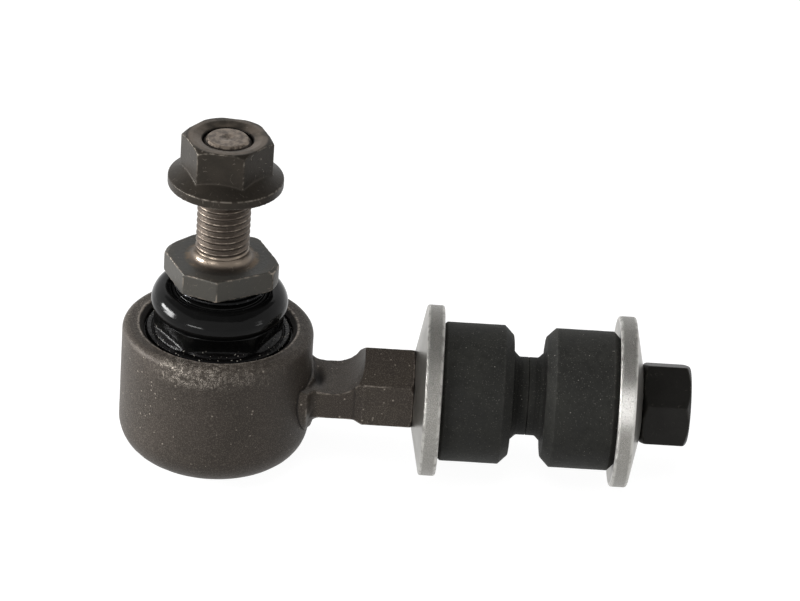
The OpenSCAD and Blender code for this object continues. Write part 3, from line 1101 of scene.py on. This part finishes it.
@dataclass
class SocketHousing:
    """Forged cup with a rolled lip, and the bearing that it holds."""

    outer_r: float = 17.9
    base_z: float = -14.4
    base_round: float = 6.4
    floor_z: float = -12.0
    bore_r: float = 15.1
    bore_fillet: float = 3.5
    lip_z: float = 11.5
    lip_under_z: float = 10.0
    shoulder_round: float = 3.85
    mouth_r: float = 14.0
    bevel: float = 0.95
    bevel_drop: float = 0.8
    steps: int = 256
    # The lip wanders between these heights and radii, in waves of some height, number and start.
    rolled_z: Point = (9.5, 11.0)
    rolled_r: Point = (16.0, 14.5)
    rolled_in: float = 0.06
    rolled_up: float = 0.5
    waves: tuple[Triple, ...] = ((0.07, 5, 0.7), (0.06, 9, 2.1), (0.04, 23, 0.0))
    # Burnish and painted sheen on the shoulder, at turns from the front: middle, width, strength.
    rubs: tuple[Triple, ...] = ((-14, 22, 1.0), (24, 26, 0.3), (95, 40, 0.2), (-105, 40, 0.3),
                                (180, 35, 0.35))
    burnish_and_sheen_z: Triple = (8.8, 11.4, 2.4)
    # Distances out from the bevel's edge at which it shines, and in at which shade is painted.
    shine: Triple = (-0.05, 0.25, 0.15)
    shine_z: float = 11.0
    grime: Point = (-0.1, -0.35)
    grime_z: float = 9.8

    def section(self) -> list[Point]:
        """Draws the cup's half section.

        Returns:
            The section from the base's middle round the outside to the floor's middle.
        """
        out, mouth, bore = self.outer_r, self.mouth_r, self.bore_r
        corners = [(0, self.base_z, 0), (out, self.base_z, self.base_round),
                   (out, self.lip_z, self.shoulder_round), (mouth + self.bevel, self.lip_z, 0.3),
                   (mouth, self.lip_z - self.bevel_drop, 0.2), (mouth, self.lip_under_z, 0.1),
                   (bore, self.lip_under_z, 0), (bore, self.floor_z, self.bore_fillet),
                   (0, self.floor_z, 0)]
        return spaced(rounded(corners, closed=False, arc=16), gap=0.45, closed=False)

    def uneven_lip(self, polar: np.ndarray) -> np.ndarray:
        """Lets the rolled lip wander a little in and out.

        Args:
            polar: Rows of radius, angle and height.

        Returns:
            The changed rows.
        """
        r, turn, h = polar.T
        near = ramp(h, *self.rolled_z) * ramp(r, *self.rolled_r)
        wander = sum(high * np.sin(number * turn + start) for high, number, start in self.waves)
        return np.stack([r + near * (wander - self.rolled_in), turn,
                         h + near * self.rolled_up * wander], -1)

    def build(self) -> Piece:
        """Turns the cup, gives it its forged skin and marks painted sheen, worn lip and painted
        shade.

        Returns:
            The cup.
        """
        cup = turned("cup_forging", self.section(), Axis.STUD, self.steps, self.uneven_lip)
        mark_edges(roughen(cup, depth=0.025, size=3.0), radius=0.5)
        x, y, z = places(cup).T
        off = np.hypot(x, y) - self.mouth_r - self.bevel
        turn = np.degrees(np.arctan2(x, -y))
        # Painted sheen and burnish on the shoulder, strongest at the front left.
        strength = sum(share * np.exp(-(((turn - middle + 180) % 360 - 180) / width) ** 2)
                       for middle, width, share in self.rubs)
        store(cup, burnish=strength * between(z, *self.burnish_and_sheen_z) * (off > 0),
              lip=between(off, *self.shine) * (z > self.shine_z),
              grime=ramp(off, *self.grime) * (z > self.grime_z))
        return cup

    def dress(self, cup: Piece) -> None:
        """Finishes the cup and the bearing inside it.

        Args:
            cup: The cup's piece.
        """
        coat = PhosphatedForging("phosphated_forging_cup").material()
        seat(cup, coat, "link", "forging", "housing_cup")
        refinish(MouldedAcetal("moulded_acetal").material(), "lower_seat", "upper_seat")
        refinish(OiledSpring("oiled_spring_strip").material(), "preload_spring", "cover_ring")


@dataclass
class DustBoot:
    """Rubber boot in two lengths, which meet in the crease under its bulge and follow the stud."""

    flange_r: float = 15.0
    flange_z: float = 8.5
    flange_top: float = 9.95
    bead_r: float = 13.5
    bead_z: float = 11.0
    band_r: float = 12.2
    wall: float = 1.2
    crease_z: float = 15.8
    bulge_r: float = 10.15
    bulge_z: float = 17.4
    bulge_round: float = 2.6
    fold_r: float = 8.6
    fold_z: float = 19.2
    lip_r: float = 8.2
    lip_z: float = 21.45
    clip_z: float = 20.35
    neck_r: float = 4.85
    grip_z: float = 20.45
    hold_z: float = 11.2
    bend_under: float = 0.4
    bend_over: float = 0.15
    steps: int = 224
    gap: float = 0.35
    # The bulge hangs lower at the front, between these heights and from this radius on.
    slump: float = 1.1
    loose_low: Point = (11.2, 14.2)
    loose_high: Point = (20.9, 18.7)
    loose_r: Point = (8.0, 8.8)
    # The band is pressed to six flats, which fade in over the bead and out below the crease.
    flats: int = 6
    flat_r: float = 11.0
    flat_turn: float = -86.0
    flat_soft: float = 0.4
    flat_in: float = 0.6
    flat_out: float = 2.6
    flat_fade: float = 0.6
    skin: float = 0.3
    # Heights below which the band is dull and the mouth is greasy.
    dull_z: Point = (15.2, 14.2)
    greasy_z: Point = (12.0, 11.4)

    def lower_section(self) -> list[Point]:
        """Draws the flange under the lip, the bead in the mouth and the band over it.

        Returns:
            The closed section.
        """
        inner = self.band_r - self.wall
        corners = [(inner, self.flange_z, 0.2), (self.flange_r, self.flange_z, 0.2),
                   (self.flange_r, self.flange_top, 0.2), (self.bead_r, self.flange_top, 0.2),
                   (self.bead_r, self.bead_z, 0.5), (self.band_r + 0.3, self.bead_z, 0.4),
                   (self.band_r, self.bead_z - 0.6, 0.3), (self.band_r, self.crease_z, 0),
                   (inner, self.crease_z, 0)]
        return spaced(rounded(corners, closed=True, arc=6), self.gap, closed=True)

    def bulge_arc(self, radius: float, start: float, stop: float, steps: int) -> list[Triple]:
        """Draws a part of the bulge's round, from one angle to another."""
        turns = [math.radians(start + (stop - start) * k / steps) for k in range(steps + 1)]
        return [(self.bulge_r + radius * math.cos(t), self.bulge_z + radius * math.sin(t), 0.0)
                for t in turns]

    def upper_section(self) -> list[Point]:
        """Draws the bulge, the fold inside it and the lip that grips the stud's neck.

        Returns:
            The closed section.
        """
        low = math.degrees(math.asin((self.crease_z - self.bulge_z) / self.bulge_round))
        corners = [*self.bulge_arc(self.bulge_round, low, 120, 40),
                   (self.fold_r, self.fold_z + 0.05, 0.2),
                   (self.fold_r - 0.25, self.fold_z + 0.4, 0.12),
                   (self.lip_r - 0.25, self.fold_z + 0.3, 0.2),
                   (self.lip_r - 0.4, self.clip_z, 0.3), (self.lip_r, self.clip_z + 0.55, 0.2),
                   (self.lip_r, self.lip_z, 0.25), (self.neck_r, self.lip_z, 0.15),
                   (self.neck_r, self.grip_z, 0.15), (self.fold_r - 2.0, self.grip_z - 1.15, 0.3),
                   *self.bulge_arc(self.bulge_round - self.wall, 118, -40, 20),
                   (self.band_r - self.wall, self.crease_z, 0)]
        return spaced(rounded(corners, closed=True, arc=5), self.gap, closed=True)

    def slumped(self, polar: np.ndarray) -> np.ndarray:
        """Lets the bulge hang lower at the front, as a limp boot does.

        Args:
            polar: Rows of radius, angle and height.

        Returns:
            The changed rows.
        """
        r, turn, h = polar.T
        loose = ramp(h, *self.loose_low) * ramp(h, *self.loose_high) * ramp(r, *self.loose_r)
        return np.stack([r, turn, h - self.slump * loose * (1 - np.sin(turn)) / 2], -1)

    def pressed_band(self, polar: np.ndarray) -> np.ndarray:
        """Presses the band into the soft hexagon that it takes where it was pushed over its ring.

        Args:
            polar: Rows of radius, angle and height.

        Returns:
            The changed rows.
        """
        r, turn, h = polar.T
        zone = (ramp(h, self.bead_z, self.bead_z + self.flat_in)
                * ramp(h, self.crease_z, self.crease_z - self.flat_out) ** self.flat_fade
                * (r < self.band_r + self.skin))
        share = 360 / self.flats
        off = (np.degrees(turn) - self.flat_turn + share / 2) % share - share / 2
        flat = self.flat_r / np.cos(np.radians(off))
        soft = np.sqrt((flat - self.band_r) ** 2 + self.flat_soft ** 2)
        press = (flat + self.band_r - soft) / 2 - self.band_r
        return self.slumped(np.stack([r + zone * press, turn, h], -1))

    def build(self) -> tuple[Piece, Piece]:
        """Turns the two lengths of the boot and marks the band and the greasy mouth.

        Returns:
            The length in the cup's mouth and the length that follows the stud.
        """
        lower = turned("boot_lower", self.lower_section(), Axis.STUD, self.steps, self.pressed_band)
        upper = turned("boot_upper", self.upper_section(), Axis.STUD, self.steps, self.slumped)
        height = places(lower)[:, 2]
        store(lower, band=ramp(height, *self.dull_z), mouth=ramp(height, *self.greasy_z))
        return lower, upper

    def dress(self, lower: Piece, upper: Piece) -> None:
        """Finishes the boot and its rings.

        Args:
            lower: Length that stays in the cup's mouth.
            upper: Length that follows the stud.
        """
        rubber = GlossyBoot("glossy_chloroprene").material()
        spans = ((lower, "link", "boot", self.hold_z, self.crease_z - self.slump),
                 (upper, "boot", "clip", self.crease_z - self.bend_under,
                  self.grip_z + self.bend_over))
        for piece, start_body, end_body, low, high in spans:
            paint(piece, rubber)
            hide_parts("dust_boot")
            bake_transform(piece)
            LOG.info("%s bends from %s to %s", piece.name, start_body, end_body)
        wire = OiledSpring("blackened_spring_wire", coat="#131314", film="#0d0d0e")
        refinish(wire.material(), "boot_base_ring", "boot_clip")


@dataclass
class BallStud:
    """Ball, neck and wrench collar in one forging, and the rolled thread over it."""

    seat_z: float = 25.8
    fillet: float = 1.7
    cut_over: float = 0.15
    voxel: float = 0.18
    passes: int = 3
    sunk: float = 0.6
    thread: ThreadSizes = ThreadSizes(length=25.4, plain=2.5, chamfer=1.35, rows=560)
    # The heat of upsetting reached this far over and under the seat, in rings of these radii.
    heat_over: float = 2.4
    heat_under: float = 0.3
    collar_z: Triple = (21.4, 26.0, 0.1)
    collar_r: Point = (5.7, 6.6)
    blue_r: Triple = (7.6, 8.4, 0.9)
    straw_r: Triple = (6.2, 6.6, 0.6)
    foot_r: Point = (5.75, 5.35)
    # Painted shade: a dark reflection on the fillet's front, and shade round the rim of the stud's
    # end.
    soot_share: float = 0.7
    soot_r: Triple = (5.8, 7.2, 0.5)
    soot_z: Triple = (25.6, 27.4, 0.2)
    end_rim_z: Triple = (49.2, 50.35, 0.2)
    end_rim_r: float = 5.1
    end_z: float = 50.2
    end_r: float = 4.1

    def build(self, rolling: RolledThread, steel: Material) -> tuple[Piece, Piece]:
        """Forges the ball and collar, rolls the thread and marks where the steel was heated.

        Args:
            rolling: The tree that rolls threads.
            steel: The stud's finish.

        Returns:
            The forging and the thread.
        """
        top = (0, 0, self.seat_z + self.fillet + self.cut_over + BALL_Z)
        blank = cad_copy("ball_stud", (top, (0, 0, 1)))
        forging = forged("stud_forging", blank, voxel=self.voxel, passes=self.passes)
        place = Matrix.Translation((0, 0, (self.seat_z - self.sunk + BALL_Z) * MM))
        rolled = rolling.make("stud_thread", self.thread, steel, place)
        mark_edges(forging, radius=0.45)
        mark_edges(rolled, radius=0.3, blur=0)
        for piece in (forging, rolled):
            self.mark_heat(piece)
        return forging, rolled

    def mark_heat(self, piece: Piece) -> None:
        """Stores where the stud is tinted or bare, and where shade is painted on it.

        Args:
            piece: The forging or the thread.
        """
        x, y, z = places(piece).T
        out = np.hypot(x, y)
        away = np.maximum(out, 1)
        low = z < self.seat_z + self.heat_over
        top = low * (z > self.seat_z - self.heat_under)
        # The front of the fillet gets a painted dark reflection, fading towards the sides.
        front = np.clip(-y / away, 0, 1) ** 3
        front_shade = self.soot_share * front * between(out, *self.soot_r) * between(z, *self.soot_z)
        end_rim = between(z, *self.end_rim_z) * (out < self.end_rim_r)
        store(piece, collar=between(z, *self.collar_z) * ramp(out, *self.collar_r),
              blue=low * between(out, *self.blue_r),
              straw=top * between(out, *self.straw_r) * (x / away) ** 2,
              foot=top * ramp(out, *self.foot_r),
              end=(z > self.end_z) * (out < self.end_r),
              soot=np.maximum(front_shade, end_rim))

    def dress(self, forging: Piece, rolled: Piece, steel: Material) -> None:
        """Finishes the stud.

        Args:
            forging: Ball, neck and collar.
            rolled: The threaded end.
            steel: The stud's finish.
        """
        for piece in (forging, rolled):
            seat(piece, steel, "stud", "stud_steel", "ball_stud")


@dataclass
class FlangeNut:
    """Hexagon nut with a conical flange, whose thread closes in at the top."""

    top_z: float = 50.8
    bore_r: float = 5.05
    mouth_r: float = 4.65
    countersink: float = 0.25
    mouth_depth: float = 0.85
    dish_r: float = 6.4
    dish_depth: float = 0.5
    steps: int = 128
    voxel: float = 0.14
    passes: int = 3
    # How far under the top the dish and the lighter crown begin, and how far out the crown and the
    # painted shade in the mouth reach.
    dish_top: Point = (-2.5, -1.0)
    crown_top: Point = (-1.1, -0.8)
    crown_r: Point = (7.6, 7.0)
    dark_r: Point = (5.0, 4.75)

    def build(self) -> Piece:
        """Forms the nut with its closed-in mouth and the dish that the punch left round it.

        Returns:
            The nut.
        """
        low, top = self.top_z - self.mouth_depth, self.top_z - 0.02
        ring = [(self.mouth_r + 0.1, low), (self.bore_r + 0.6, low - 0.5), (self.bore_r + 0.9, top),
                (self.mouth_r + self.countersink, top),
                (self.mouth_r, self.top_z - self.countersink)]
        mouth = turned("nut_mouth", ring, Axis.STUD, self.steps)
        nut = forged("flange_nut_formed", cad_copy("flange_nut"), mouth,
                     voxel=self.voxel, passes=self.passes)
        spots = places(nut)
        out = np.hypot(spots[:, 0], spots[:, 1])
        spots[:, 2] -= (self.dish_depth * ramp(out, self.dish_r, self.mouth_r)
                        * ramp(spots[:, 2] - self.top_z, *self.dish_top))
        mark_edges(move(nut, spots), radius=0.4)
        crown = ramp(spots[:, 2] - self.top_z, *self.crown_top) * ramp(out, *self.crown_r)
        store(nut, crown=crown, mouth=ramp(out, *self.dark_r))
        return nut

    def dress(self, nut: Piece) -> None:
        """Finishes the nut and lets it turn on the stud."""
        black = BlackenedNut("phosphated_flange_nut").material()
        seat(nut, black, "flange_nut", "flange_nut_steel", "flange_nut")


@dataclass
class Shank:
    """Scooped neck, wrench hexagon and the rod through the bushings, upset-welded to the cup."""

    cup_r: float = 17.9
    foot_skin: float = 0.02
    sunk: float = 1.0
    voxel: float = 0.16
    passes: int = 3
    hex_end: float = 37.2
    hex_over: float = 0.6
    rod_r: float = 5.0
    rod_end: float = 88.75
    rod_sunk: float = 0.5
    rod_over: float = 0.3
    rod_steps: int = 96
    thread: ThreadSizes = ThreadSizes(length=12.0, plain=0.6, chamfer=1.0, rows=300)
    # The weld pressed out a lumpy ridge round the neck's foot, flatter on top.
    ridge_r: float = 7.4
    ridge_top: float = 2.4
    ridge_flat: float = 1.2
    ridge_out: float = -0.15
    ridge_wire: float = 0.8
    ridge_steps: int = 160
    ridge_sides: int = 12
    lump_share: float = 0.45
    lump_counts: range = range(2, 22)
    lump_seed: int = 7
    # The weld ran smooth up to here, and left a pit beside the ridge.
    melt_x: Point = (21.5, 19.5)
    melt_passes: int = 14
    pit: Point = (19.4, -0.4)
    pit_size: Point = (1.1, 3.0)
    pit_depth: float = 0.9
    # Painted shade reaches this far out from the cup's wall, round the neck's foot.
    recess_shade_off: Point = (0.4, 0.05)

    def weld_ridge(self) -> Piece:
        """Makes the lumpy ridge that the weld pressed out round the neck's foot.

        Returns:
            The ridge, which the forging takes up.
        """
        steps, sides = self.ridge_steps, self.ridge_sides
        rng = np.random.default_rng(self.lump_seed)
        lumps = sum(rng.uniform(0.3, 1.0) / k * np.sin(np.arange(steps) * FULL_TURN * k / steps
                                                       + rng.uniform(0, FULL_TURN))
                    for k in self.lump_counts)
        lumps = lumps / np.abs(lumps).max()
        shelf = self.ridge_top - self.ridge_flat
        points, faces = [], []
        for i in range(steps):
            phi = i * FULL_TURN / steps
            y, z = self.ridge_r * math.cos(phi), self.ridge_r * math.sin(phi)
            if z >= shelf:
                z = self.ridge_top - self.ridge_flat * math.exp(-(z - shelf) / self.ridge_flat)
            x = math.sqrt(self.cup_r ** 2 - y * y) + self.ridge_out
            wire = self.ridge_wire * (1 + self.lump_share * lumps[i])
            away = Vector((0, y, z)).normalized()
            j = (i + 1) % steps
            for k in range(sides):
                t = k * FULL_TURN / sides
                m = (k + 1) % sides
                middle = Vector((x + wire * math.cos(t), y, z + BALL_Z))
                points.append(middle + away * wire * math.sin(t))
                faces.append([i * sides + k, i * sides + m, j * sides + m, j * sides + k])
        return make_piece("weld_ridge", np.array(points), faces)

    def neck(self) -> Piece:
        """Forges the neck and hexagon, with the foot sunk in the cup's wall and melted over.

        Returns:
            The forging.
        """
        work = cad_copy("link_shank", ((self.hex_end + self.hex_over, 0, BALL_Z), (1, 0, 0)))
        for vertex in work.verts:
            if math.hypot(vertex.co.x, vertex.co.y) < (self.cup_r + self.foot_skin) * MM:
                vertex.co.x -= self.sunk * MM
        forging = forged("shank_forging", work, self.weld_ridge(),
                         voxel=self.voxel, passes=self.passes)
        melt(forging, self.melt_passes, ramp(places(forging)[:, 0], *self.melt_x))
        spots = places(forging)
        x, y, z = spots.T
        along, across = (x - self.pit[0]) / self.pit_size[0], (y - self.pit[1]) / self.pit_size[1]
        pit = np.exp(-along ** 2 - across ** 2) * (z > 0)
        spots[:, 2] -= self.pit_depth * pit
        mark_edges(roughen(move(forging, spots), depth=0.03, size=2.2), radius=0.45)
        # Painted shade in the pit and round the neck's foot, where it meets the cup.
        store(forging, grime=np.maximum(pit, ramp(np.hypot(x, y) - self.cup_r, *self.recess_shade_off)))
        return forging

    def build(self, rolling: RolledThread, steel: Material) -> tuple[Piece, Piece, Piece]:
        """Forges the neck and hexagon, and turns and threads the rod.

        Args:
            rolling: The tree that rolls threads.
            steel: The rod's finish.

        Returns:
            The forging, the plain rod and its threaded end.
        """
        foot, start = self.hex_end - self.rod_sunk, self.rod_end - self.thread.length
        end = start + self.rod_over
        corners = [(0, foot, 0), (self.rod_r, foot, 0.1), (self.rod_r, end, 0.1), (0, end, 0)]
        rod = turned("shank_rod", rounded(corners, closed=False), Axis.SHANK, self.rod_steps)
        along_x = Matrix.Rotation(math.pi / 2, 4, "Y")
        place = Matrix.Translation((start * MM, 0, BALL_Z * MM)) @ along_x
        rolled = rolling.make("shank_thread", self.thread, steel, place)
        for piece in (rod, rolled):
            mark_edges(piece, radius=0.3)
        return self.neck(), rod, rolled

    def dress(self, forging: Piece, rod: Piece, rolled: Piece, steel: Material) -> None:
        """Finishes the shank.

        Args:
            forging: Neck and hexagon.
            rod: Plain rod through the bushings.
            rolled: Threaded end under the nut.
            steel: Finish of the turned lengths.
        """
        coat = PhosphatedForging("phosphated_forging_shank", coat="#3b3530", thin="#433d36")
        for piece, finish in ((forging, coat.material()), (rod, steel), (rolled, steel)):
            seat(piece, finish, "link", "forging", "link_shank")


@dataclass
class ClampedBushings:
    """Two rubber bushings nose to nose between two dished washers."""

    hole_r: float = 5.15
    hub_r: float = 7.5
    washer_r: float = 16.1
    washer_t: float = 3.4
    dish: float = 1.8
    washer_round: float = 0.5
    bush_r: float = 13.1
    bush_l: float = 17.9
    end_chamfer: float = 1.3
    shoulder_chamfer: float = 1.75
    nose_l: float = 3.05
    nose_r: float = 7.35
    nose_chamfer: float = 1.3
    inner_washer_x: float = 37.25
    inner_bush_x: float = 40.7
    outer_bush_x: float = 76.55
    outer_washer_x: float = 80.0
    steps: int = 200
    plate_depth: float = 0.01
    rubber_depth: float = 0.025
    # The sheared rim lies this far inside the washer's radius; the outer rim gets a painted
    # highlight in front.
    sheared: Point = (-0.35, -0.1)
    polish_turn: float = 27.0
    polish_width: float = 14.0

    def washer_section(self) -> list[Triple]:
        """Draws a dished washer with its hub at zero and its rim leaning over the bushing.

        Returns:
            Radius, height and rounding of each corner.
        """
        rim, edge = self.washer_r, self.washer_round
        return [(self.hole_r, 0, 0.2), (self.hub_r, 0, 1.2), (rim, self.dish, edge),
                (rim, self.dish + self.washer_t - 0.1, edge), (self.hub_r, self.washer_t, 1.2),
                (self.hole_r, self.washer_t, 0.2)]

    def bushing_section(self) -> list[Triple]:
        """Draws a bushing, from the end that follows its washer's dish to the nose.

        Returns:
            Radius, height and rounding of each corner.
        """
        end_r = self.bush_r - self.end_chamfer
        end_x = (end_r - self.hub_r) * self.dish / (self.washer_r - self.hub_r)
        shoulder = self.bush_l - self.nose_l
        return [(self.hole_r, 0, 0.1), (self.hub_r, 0, 0.3), (end_r, end_x, 0.4),
                (self.bush_r, end_x + self.end_chamfer, 0.3),
                (self.bush_r, shoulder - self.shoulder_chamfer, 0.22),
                (self.bush_r - self.shoulder_chamfer, shoulder, 0.4),
                (self.nose_r + self.nose_chamfer, shoulder, 0.5),
                (self.nose_r, shoulder + self.nose_chamfer, 0.6),
                (self.nose_r, self.bush_l, 0.15), (self.hole_r, self.bush_l, 0.1)]

    def build(self) -> dict[str, Piece]:
        """Turns both washers and both bushings.

        Returns:
            Each piece by its CAD node.
        """
        made: dict[str, Piece] = {}
        washer = self.washer_section(), self.plate_depth
        bushing = self.bushing_section(), self.rubber_depth
        plans = (("inner_washer", washer, self.inner_washer_x, 1),
                 ("inner_bushing", bushing, self.inner_bush_x, 1),
                 ("outer_bushing", bushing, self.outer_bush_x, -1),
                 ("outer_washer", washer, self.outer_washer_x, -1))
        for node, (corners, depth), x, way in plans:
            line = spaced(rounded(corners, closed=True, arc=5), gap=0.5, closed=True)
            section = [(r, x + way * h) for r, h in line]
            piece = turned(node + "_dressed", section, Axis.SHANK, self.steps)
            made[node] = mark_edges(roughen(piece, depth, size=3.0), radius=0.5)
        for node in ("inner_washer", "outer_washer"):
            _, y, z = places(made[node]).T
            rim = ramp(np.hypot(y, z) - self.washer_r, *self.sheared)
            turn = (np.degrees(np.arctan2(z, -y)) - self.polish_turn) / self.polish_width
            store(made[node], rim=rim, polish=rim * (node == "outer_washer") * np.exp(-turn ** 2))
        return made

    def dress(self, made: dict[str, Piece]) -> None:
        """Finishes the washers and bushings.

        Args:
            made: Each piece by its CAD node.
        """
        zinc = ZincPlate("zinc_plated_washer").material()
        rubber = DustyRubber("dusty_natural_rubber").material()
        for node, piece in made.items():
            if node.endswith("washer"):
                seat(piece, zinc, "link", "zinc_plate", node)
            else:
                seat(piece, rubber, "link", "bushing_rubber", node)


@dataclass
class EndNut:
    """Plain hexagon nut that clamps the bushings."""

    voxel: float = 0.13
    passes: int = 14

    def build(self) -> Piece:
        """Forms the nut with its rounded corners."""
        nut = forged("end_nut_formed", cad_copy("end_nut"), voxel=self.voxel, passes=self.passes)
        return mark_edges(nut, radius=0.4)

    def dress(self, nut: Piece) -> None:
        """Finishes the nut and lets it turn on the rod."""
        black = BlackenedNut("black_oxide_end_nut", coat="#1d1c1a", thin="#242321", bare="#5f5b55",
                             rough=0.46, metal=0.3, wear=0.4)
        seat(nut, black.material(), "end_nut", "end_nut_steel", "end_nut")


# Camera and light

def away_from(azimuth: float, elevation: float) -> Vector:
    """Gives the way out from the link; the azimuth runs from the front to the right, in degrees."""
    a, e = math.radians(azimuth), math.radians(elevation)
    return Vector((math.sin(a) * math.cos(e), -math.cos(a) * math.cos(e), math.sin(e)))


@dataclass(frozen=True)
class PhotoCamera:
    """Long lens that looks down on the link from the front, held with a slight roll."""

    place: Triple = (15.14, -726.814, 395.690)
    azimuth: float = -1.4477
    elevation: float = 28.979
    roll: float = 4.202
    lens: float = 200.883
    sensor: float = 36.0
    near: float = 0.01
    far: float = 50.0

    def build(self) -> None:
        """Makes the scene's camera."""
        back = away_from(self.azimuth, self.elevation)
        right = away_from(self.azimuth + 90, 0)
        up = back.cross(right)
        cos, sin = math.cos(math.radians(self.roll)), math.sin(math.radians(self.roll))
        turn = Matrix((right * cos + up * sin, up * cos - right * sin, back)).transposed()
        data = bpy.data.cameras.new("photo_camera")
        data.lens, data.sensor_width = self.lens, self.sensor
        data.clip_start, data.clip_end = self.near, self.far
        camera = new_object("photo_camera", data)
        camera.matrix_world = Matrix.Translation(Vector(self.place) * MM) @ turn.to_4x4()
        bpy.context.scene.camera = camera


@dataclass(frozen=True)
class SoftLamp:
    """Soft box that faces the link."""

    name: str
    azimuth: float
    elevation: float
    distance: float
    width: float
    height: float
    power: float
    mirrored: bool = True
    aim: Triple = (30.0, 0.0, -15.0)

    def build(self) -> None:
        """Hangs the lamp and turns it to the link."""
        data = bpy.data.lights.new(self.name, "AREA")
        data.shape, data.size, data.size_y = "RECTANGLE", self.width * MM, self.height * MM
        data.energy = self.power
        lamp = new_object(self.name, data)
        away = away_from(self.azimuth, self.elevation)
        lamp.location = (away * self.distance + Vector(self.aim)) * MM
        lamp.rotation_euler = away.to_track_quat("Z", "Y").to_euler()
        lamp.visible_camera, lamp.visible_glossy = False, self.mirrored


@dataclass(frozen=True)
class Studio:
    """White sweep under a grey ceiling, with soft boxes at the left, in front and overhead."""

    floor_z: float = -42.0
    floor_half: float = 4000.0
    floor_bounce: str = "#707070"
    ceiling_z: float = 950.0
    ceiling_half: float = 1000.0
    ceiling_glow: float = 0.25
    ambient: float = 0.2
    # Share of the floor's white that the lamps give, and how brightly they light it.
    shadow_share: float = 0.2
    lamp_light: float = 0.25
    # Azimuth, elevation, distance, width, height and power of each lamp.
    lamps: tuple[SoftLamp, ...] = (
        SoftLamp("left_box", -92, 12, 800, 420, 140, 8.8),
        SoftLamp("front_left_strip", -38, 9, 900, 360, 80, 2.4),
        SoftLamp("right_strip", 68, 10, 900, 160, 80, 0.3),
        SoftLamp("top_diffuser", -20, 68, 900, 600, 600, 3.4, mirrored=False),
    )

    def seen(self, tree: Tree) -> Socket:
        """Tells rays that show the background from those that light the link.

        Args:
            tree: The tree of the floor's paint or the world.

        Returns:
            One for rays straight to the camera, by gloss or through glass.
        """
        ray = add(tree, "ShaderNodeLightPath").node.outputs
        shown = ray["Is Camera Ray"]
        for name in ("Is Glossy Ray", "Is Transmission Ray"):
            shown = add(tree, "ShaderNodeMath", {0: shown, 1: ray[name]}, operation="MAXIMUM")
        return shown

    def plane(self, name: str, half: float, height: float, material: Material) -> Piece:
        """Lays a large level sheet that belongs to the stage.

        Args:
            name: Name of the sheet.
            half: Half its width in millimetres.
            height: Its height in millimetres.
            material: Its paint.

        Returns:
            The sheet.
        """
        corners = [(x * half, y * half, height) for x, y in ((-1, -1), (1, -1), (1, 1), (-1, 1))]
        sheet = make_piece(name, np.array(corners), [[0, 1, 2, 3]])
        paint(sheet, material)
        return sheet

    def ceiling_paint(self) -> Material:
        """Makes grey cloth that is lit from behind a little.

        Returns:
            The ceiling's material.
        """
        cloth = bpy.data.materials.new("grey_ceiling_cloth")
        tree = empty_tree(cloth)
        glow = add(tree, "ShaderNodeEmission",
                   {"Color": linear(WHITE), "Strength": self.ceiling_glow})
        add(tree, "ShaderNodeOutputMaterial", {"Surface": glow})
        return cloth

    def floor_paint(self) -> Material:
        """Makes matt white paint that shows as the white background and keeps a soft shadow.

        Returns:
            The floor's material.
        """
        paper = bpy.data.materials.new("matt_white_floor")
        tree = empty_tree(paper)
        bounce = add(tree, "ShaderNodeBsdfDiffuse", {"Color": linear(self.floor_bounce)})
        matt = add(tree, "ShaderNodeBsdfDiffuse", {"Color": (*[self.shadow_share] * 3, 1.0)})
        rest = 1 - self.shadow_share * self.lamp_light
        glow = add(tree, "ShaderNodeEmission", {"Color": linear(WHITE), "Strength": rest})
        shown = add(tree, "ShaderNodeAddShader", {0: matt, 1: glow})
        mixed = add(tree, "ShaderNodeMixShader", {0: self.seen(tree), 1: bounce, 2: shown})
        add(tree, "ShaderNodeOutputMaterial", {"Surface": mixed})
        return paper

    def build(self) -> None:
        """Makes the world, the floor, the ceiling and the lamps."""
        world = bpy.data.worlds.new("white_sweep")
        tree = empty_tree(world)
        strength = add(tree, "ShaderNodeMix", {0: self.seen(tree), 2: self.ambient, 3: 1.0})
        light = add(tree, "ShaderNodeBackground", {"Color": linear(WHITE), "Strength": strength})
        add(tree, "ShaderNodeOutputWorld", {"Surface": light})
        bpy.context.scene.world = world
        paper, cloth = self.floor_paint(), self.ceiling_paint()
        self.plane("white_floor", self.floor_half, self.floor_z, paper)
        ceiling = self.plane("grey_ceiling", self.ceiling_half, self.ceiling_z, cloth)
        ceiling.visible_camera = False
        for lamp in self.lamps:
            lamp.build()


def main() -> None:
    """Builds the link's sub-assemblies in order, then the studio round it."""
    logging.basicConfig(level=logging.INFO, format="%(name)s: %(message)s")
    bpy.context.scene.view_settings.view_transform = "Standard"
    PhotoCamera().build()
    rolling = RolledThread()
    stud_steel = RolledStud("rolled_stud_steel").material()
    housing = SocketHousing()
    housing.dress(housing.build())
    boot = DustBoot()
    boot.dress(*boot.build())
    stud = BallStud()
    stud.dress(*stud.build(rolling, stud_steel), stud_steel)
    flange_nut = FlangeNut()
    flange_nut.dress(flange_nut.build())
    shank = Shank()
    shank.dress(*shank.build(rolling, stud_steel), stud_steel)
    bushings = ClampedBushings()
    bushings.dress(bushings.build())
    end_nut = EndNut()
    end_nut.dress(end_nut.build())
    Studio().build()


if __name__ == "__main__":
    main()
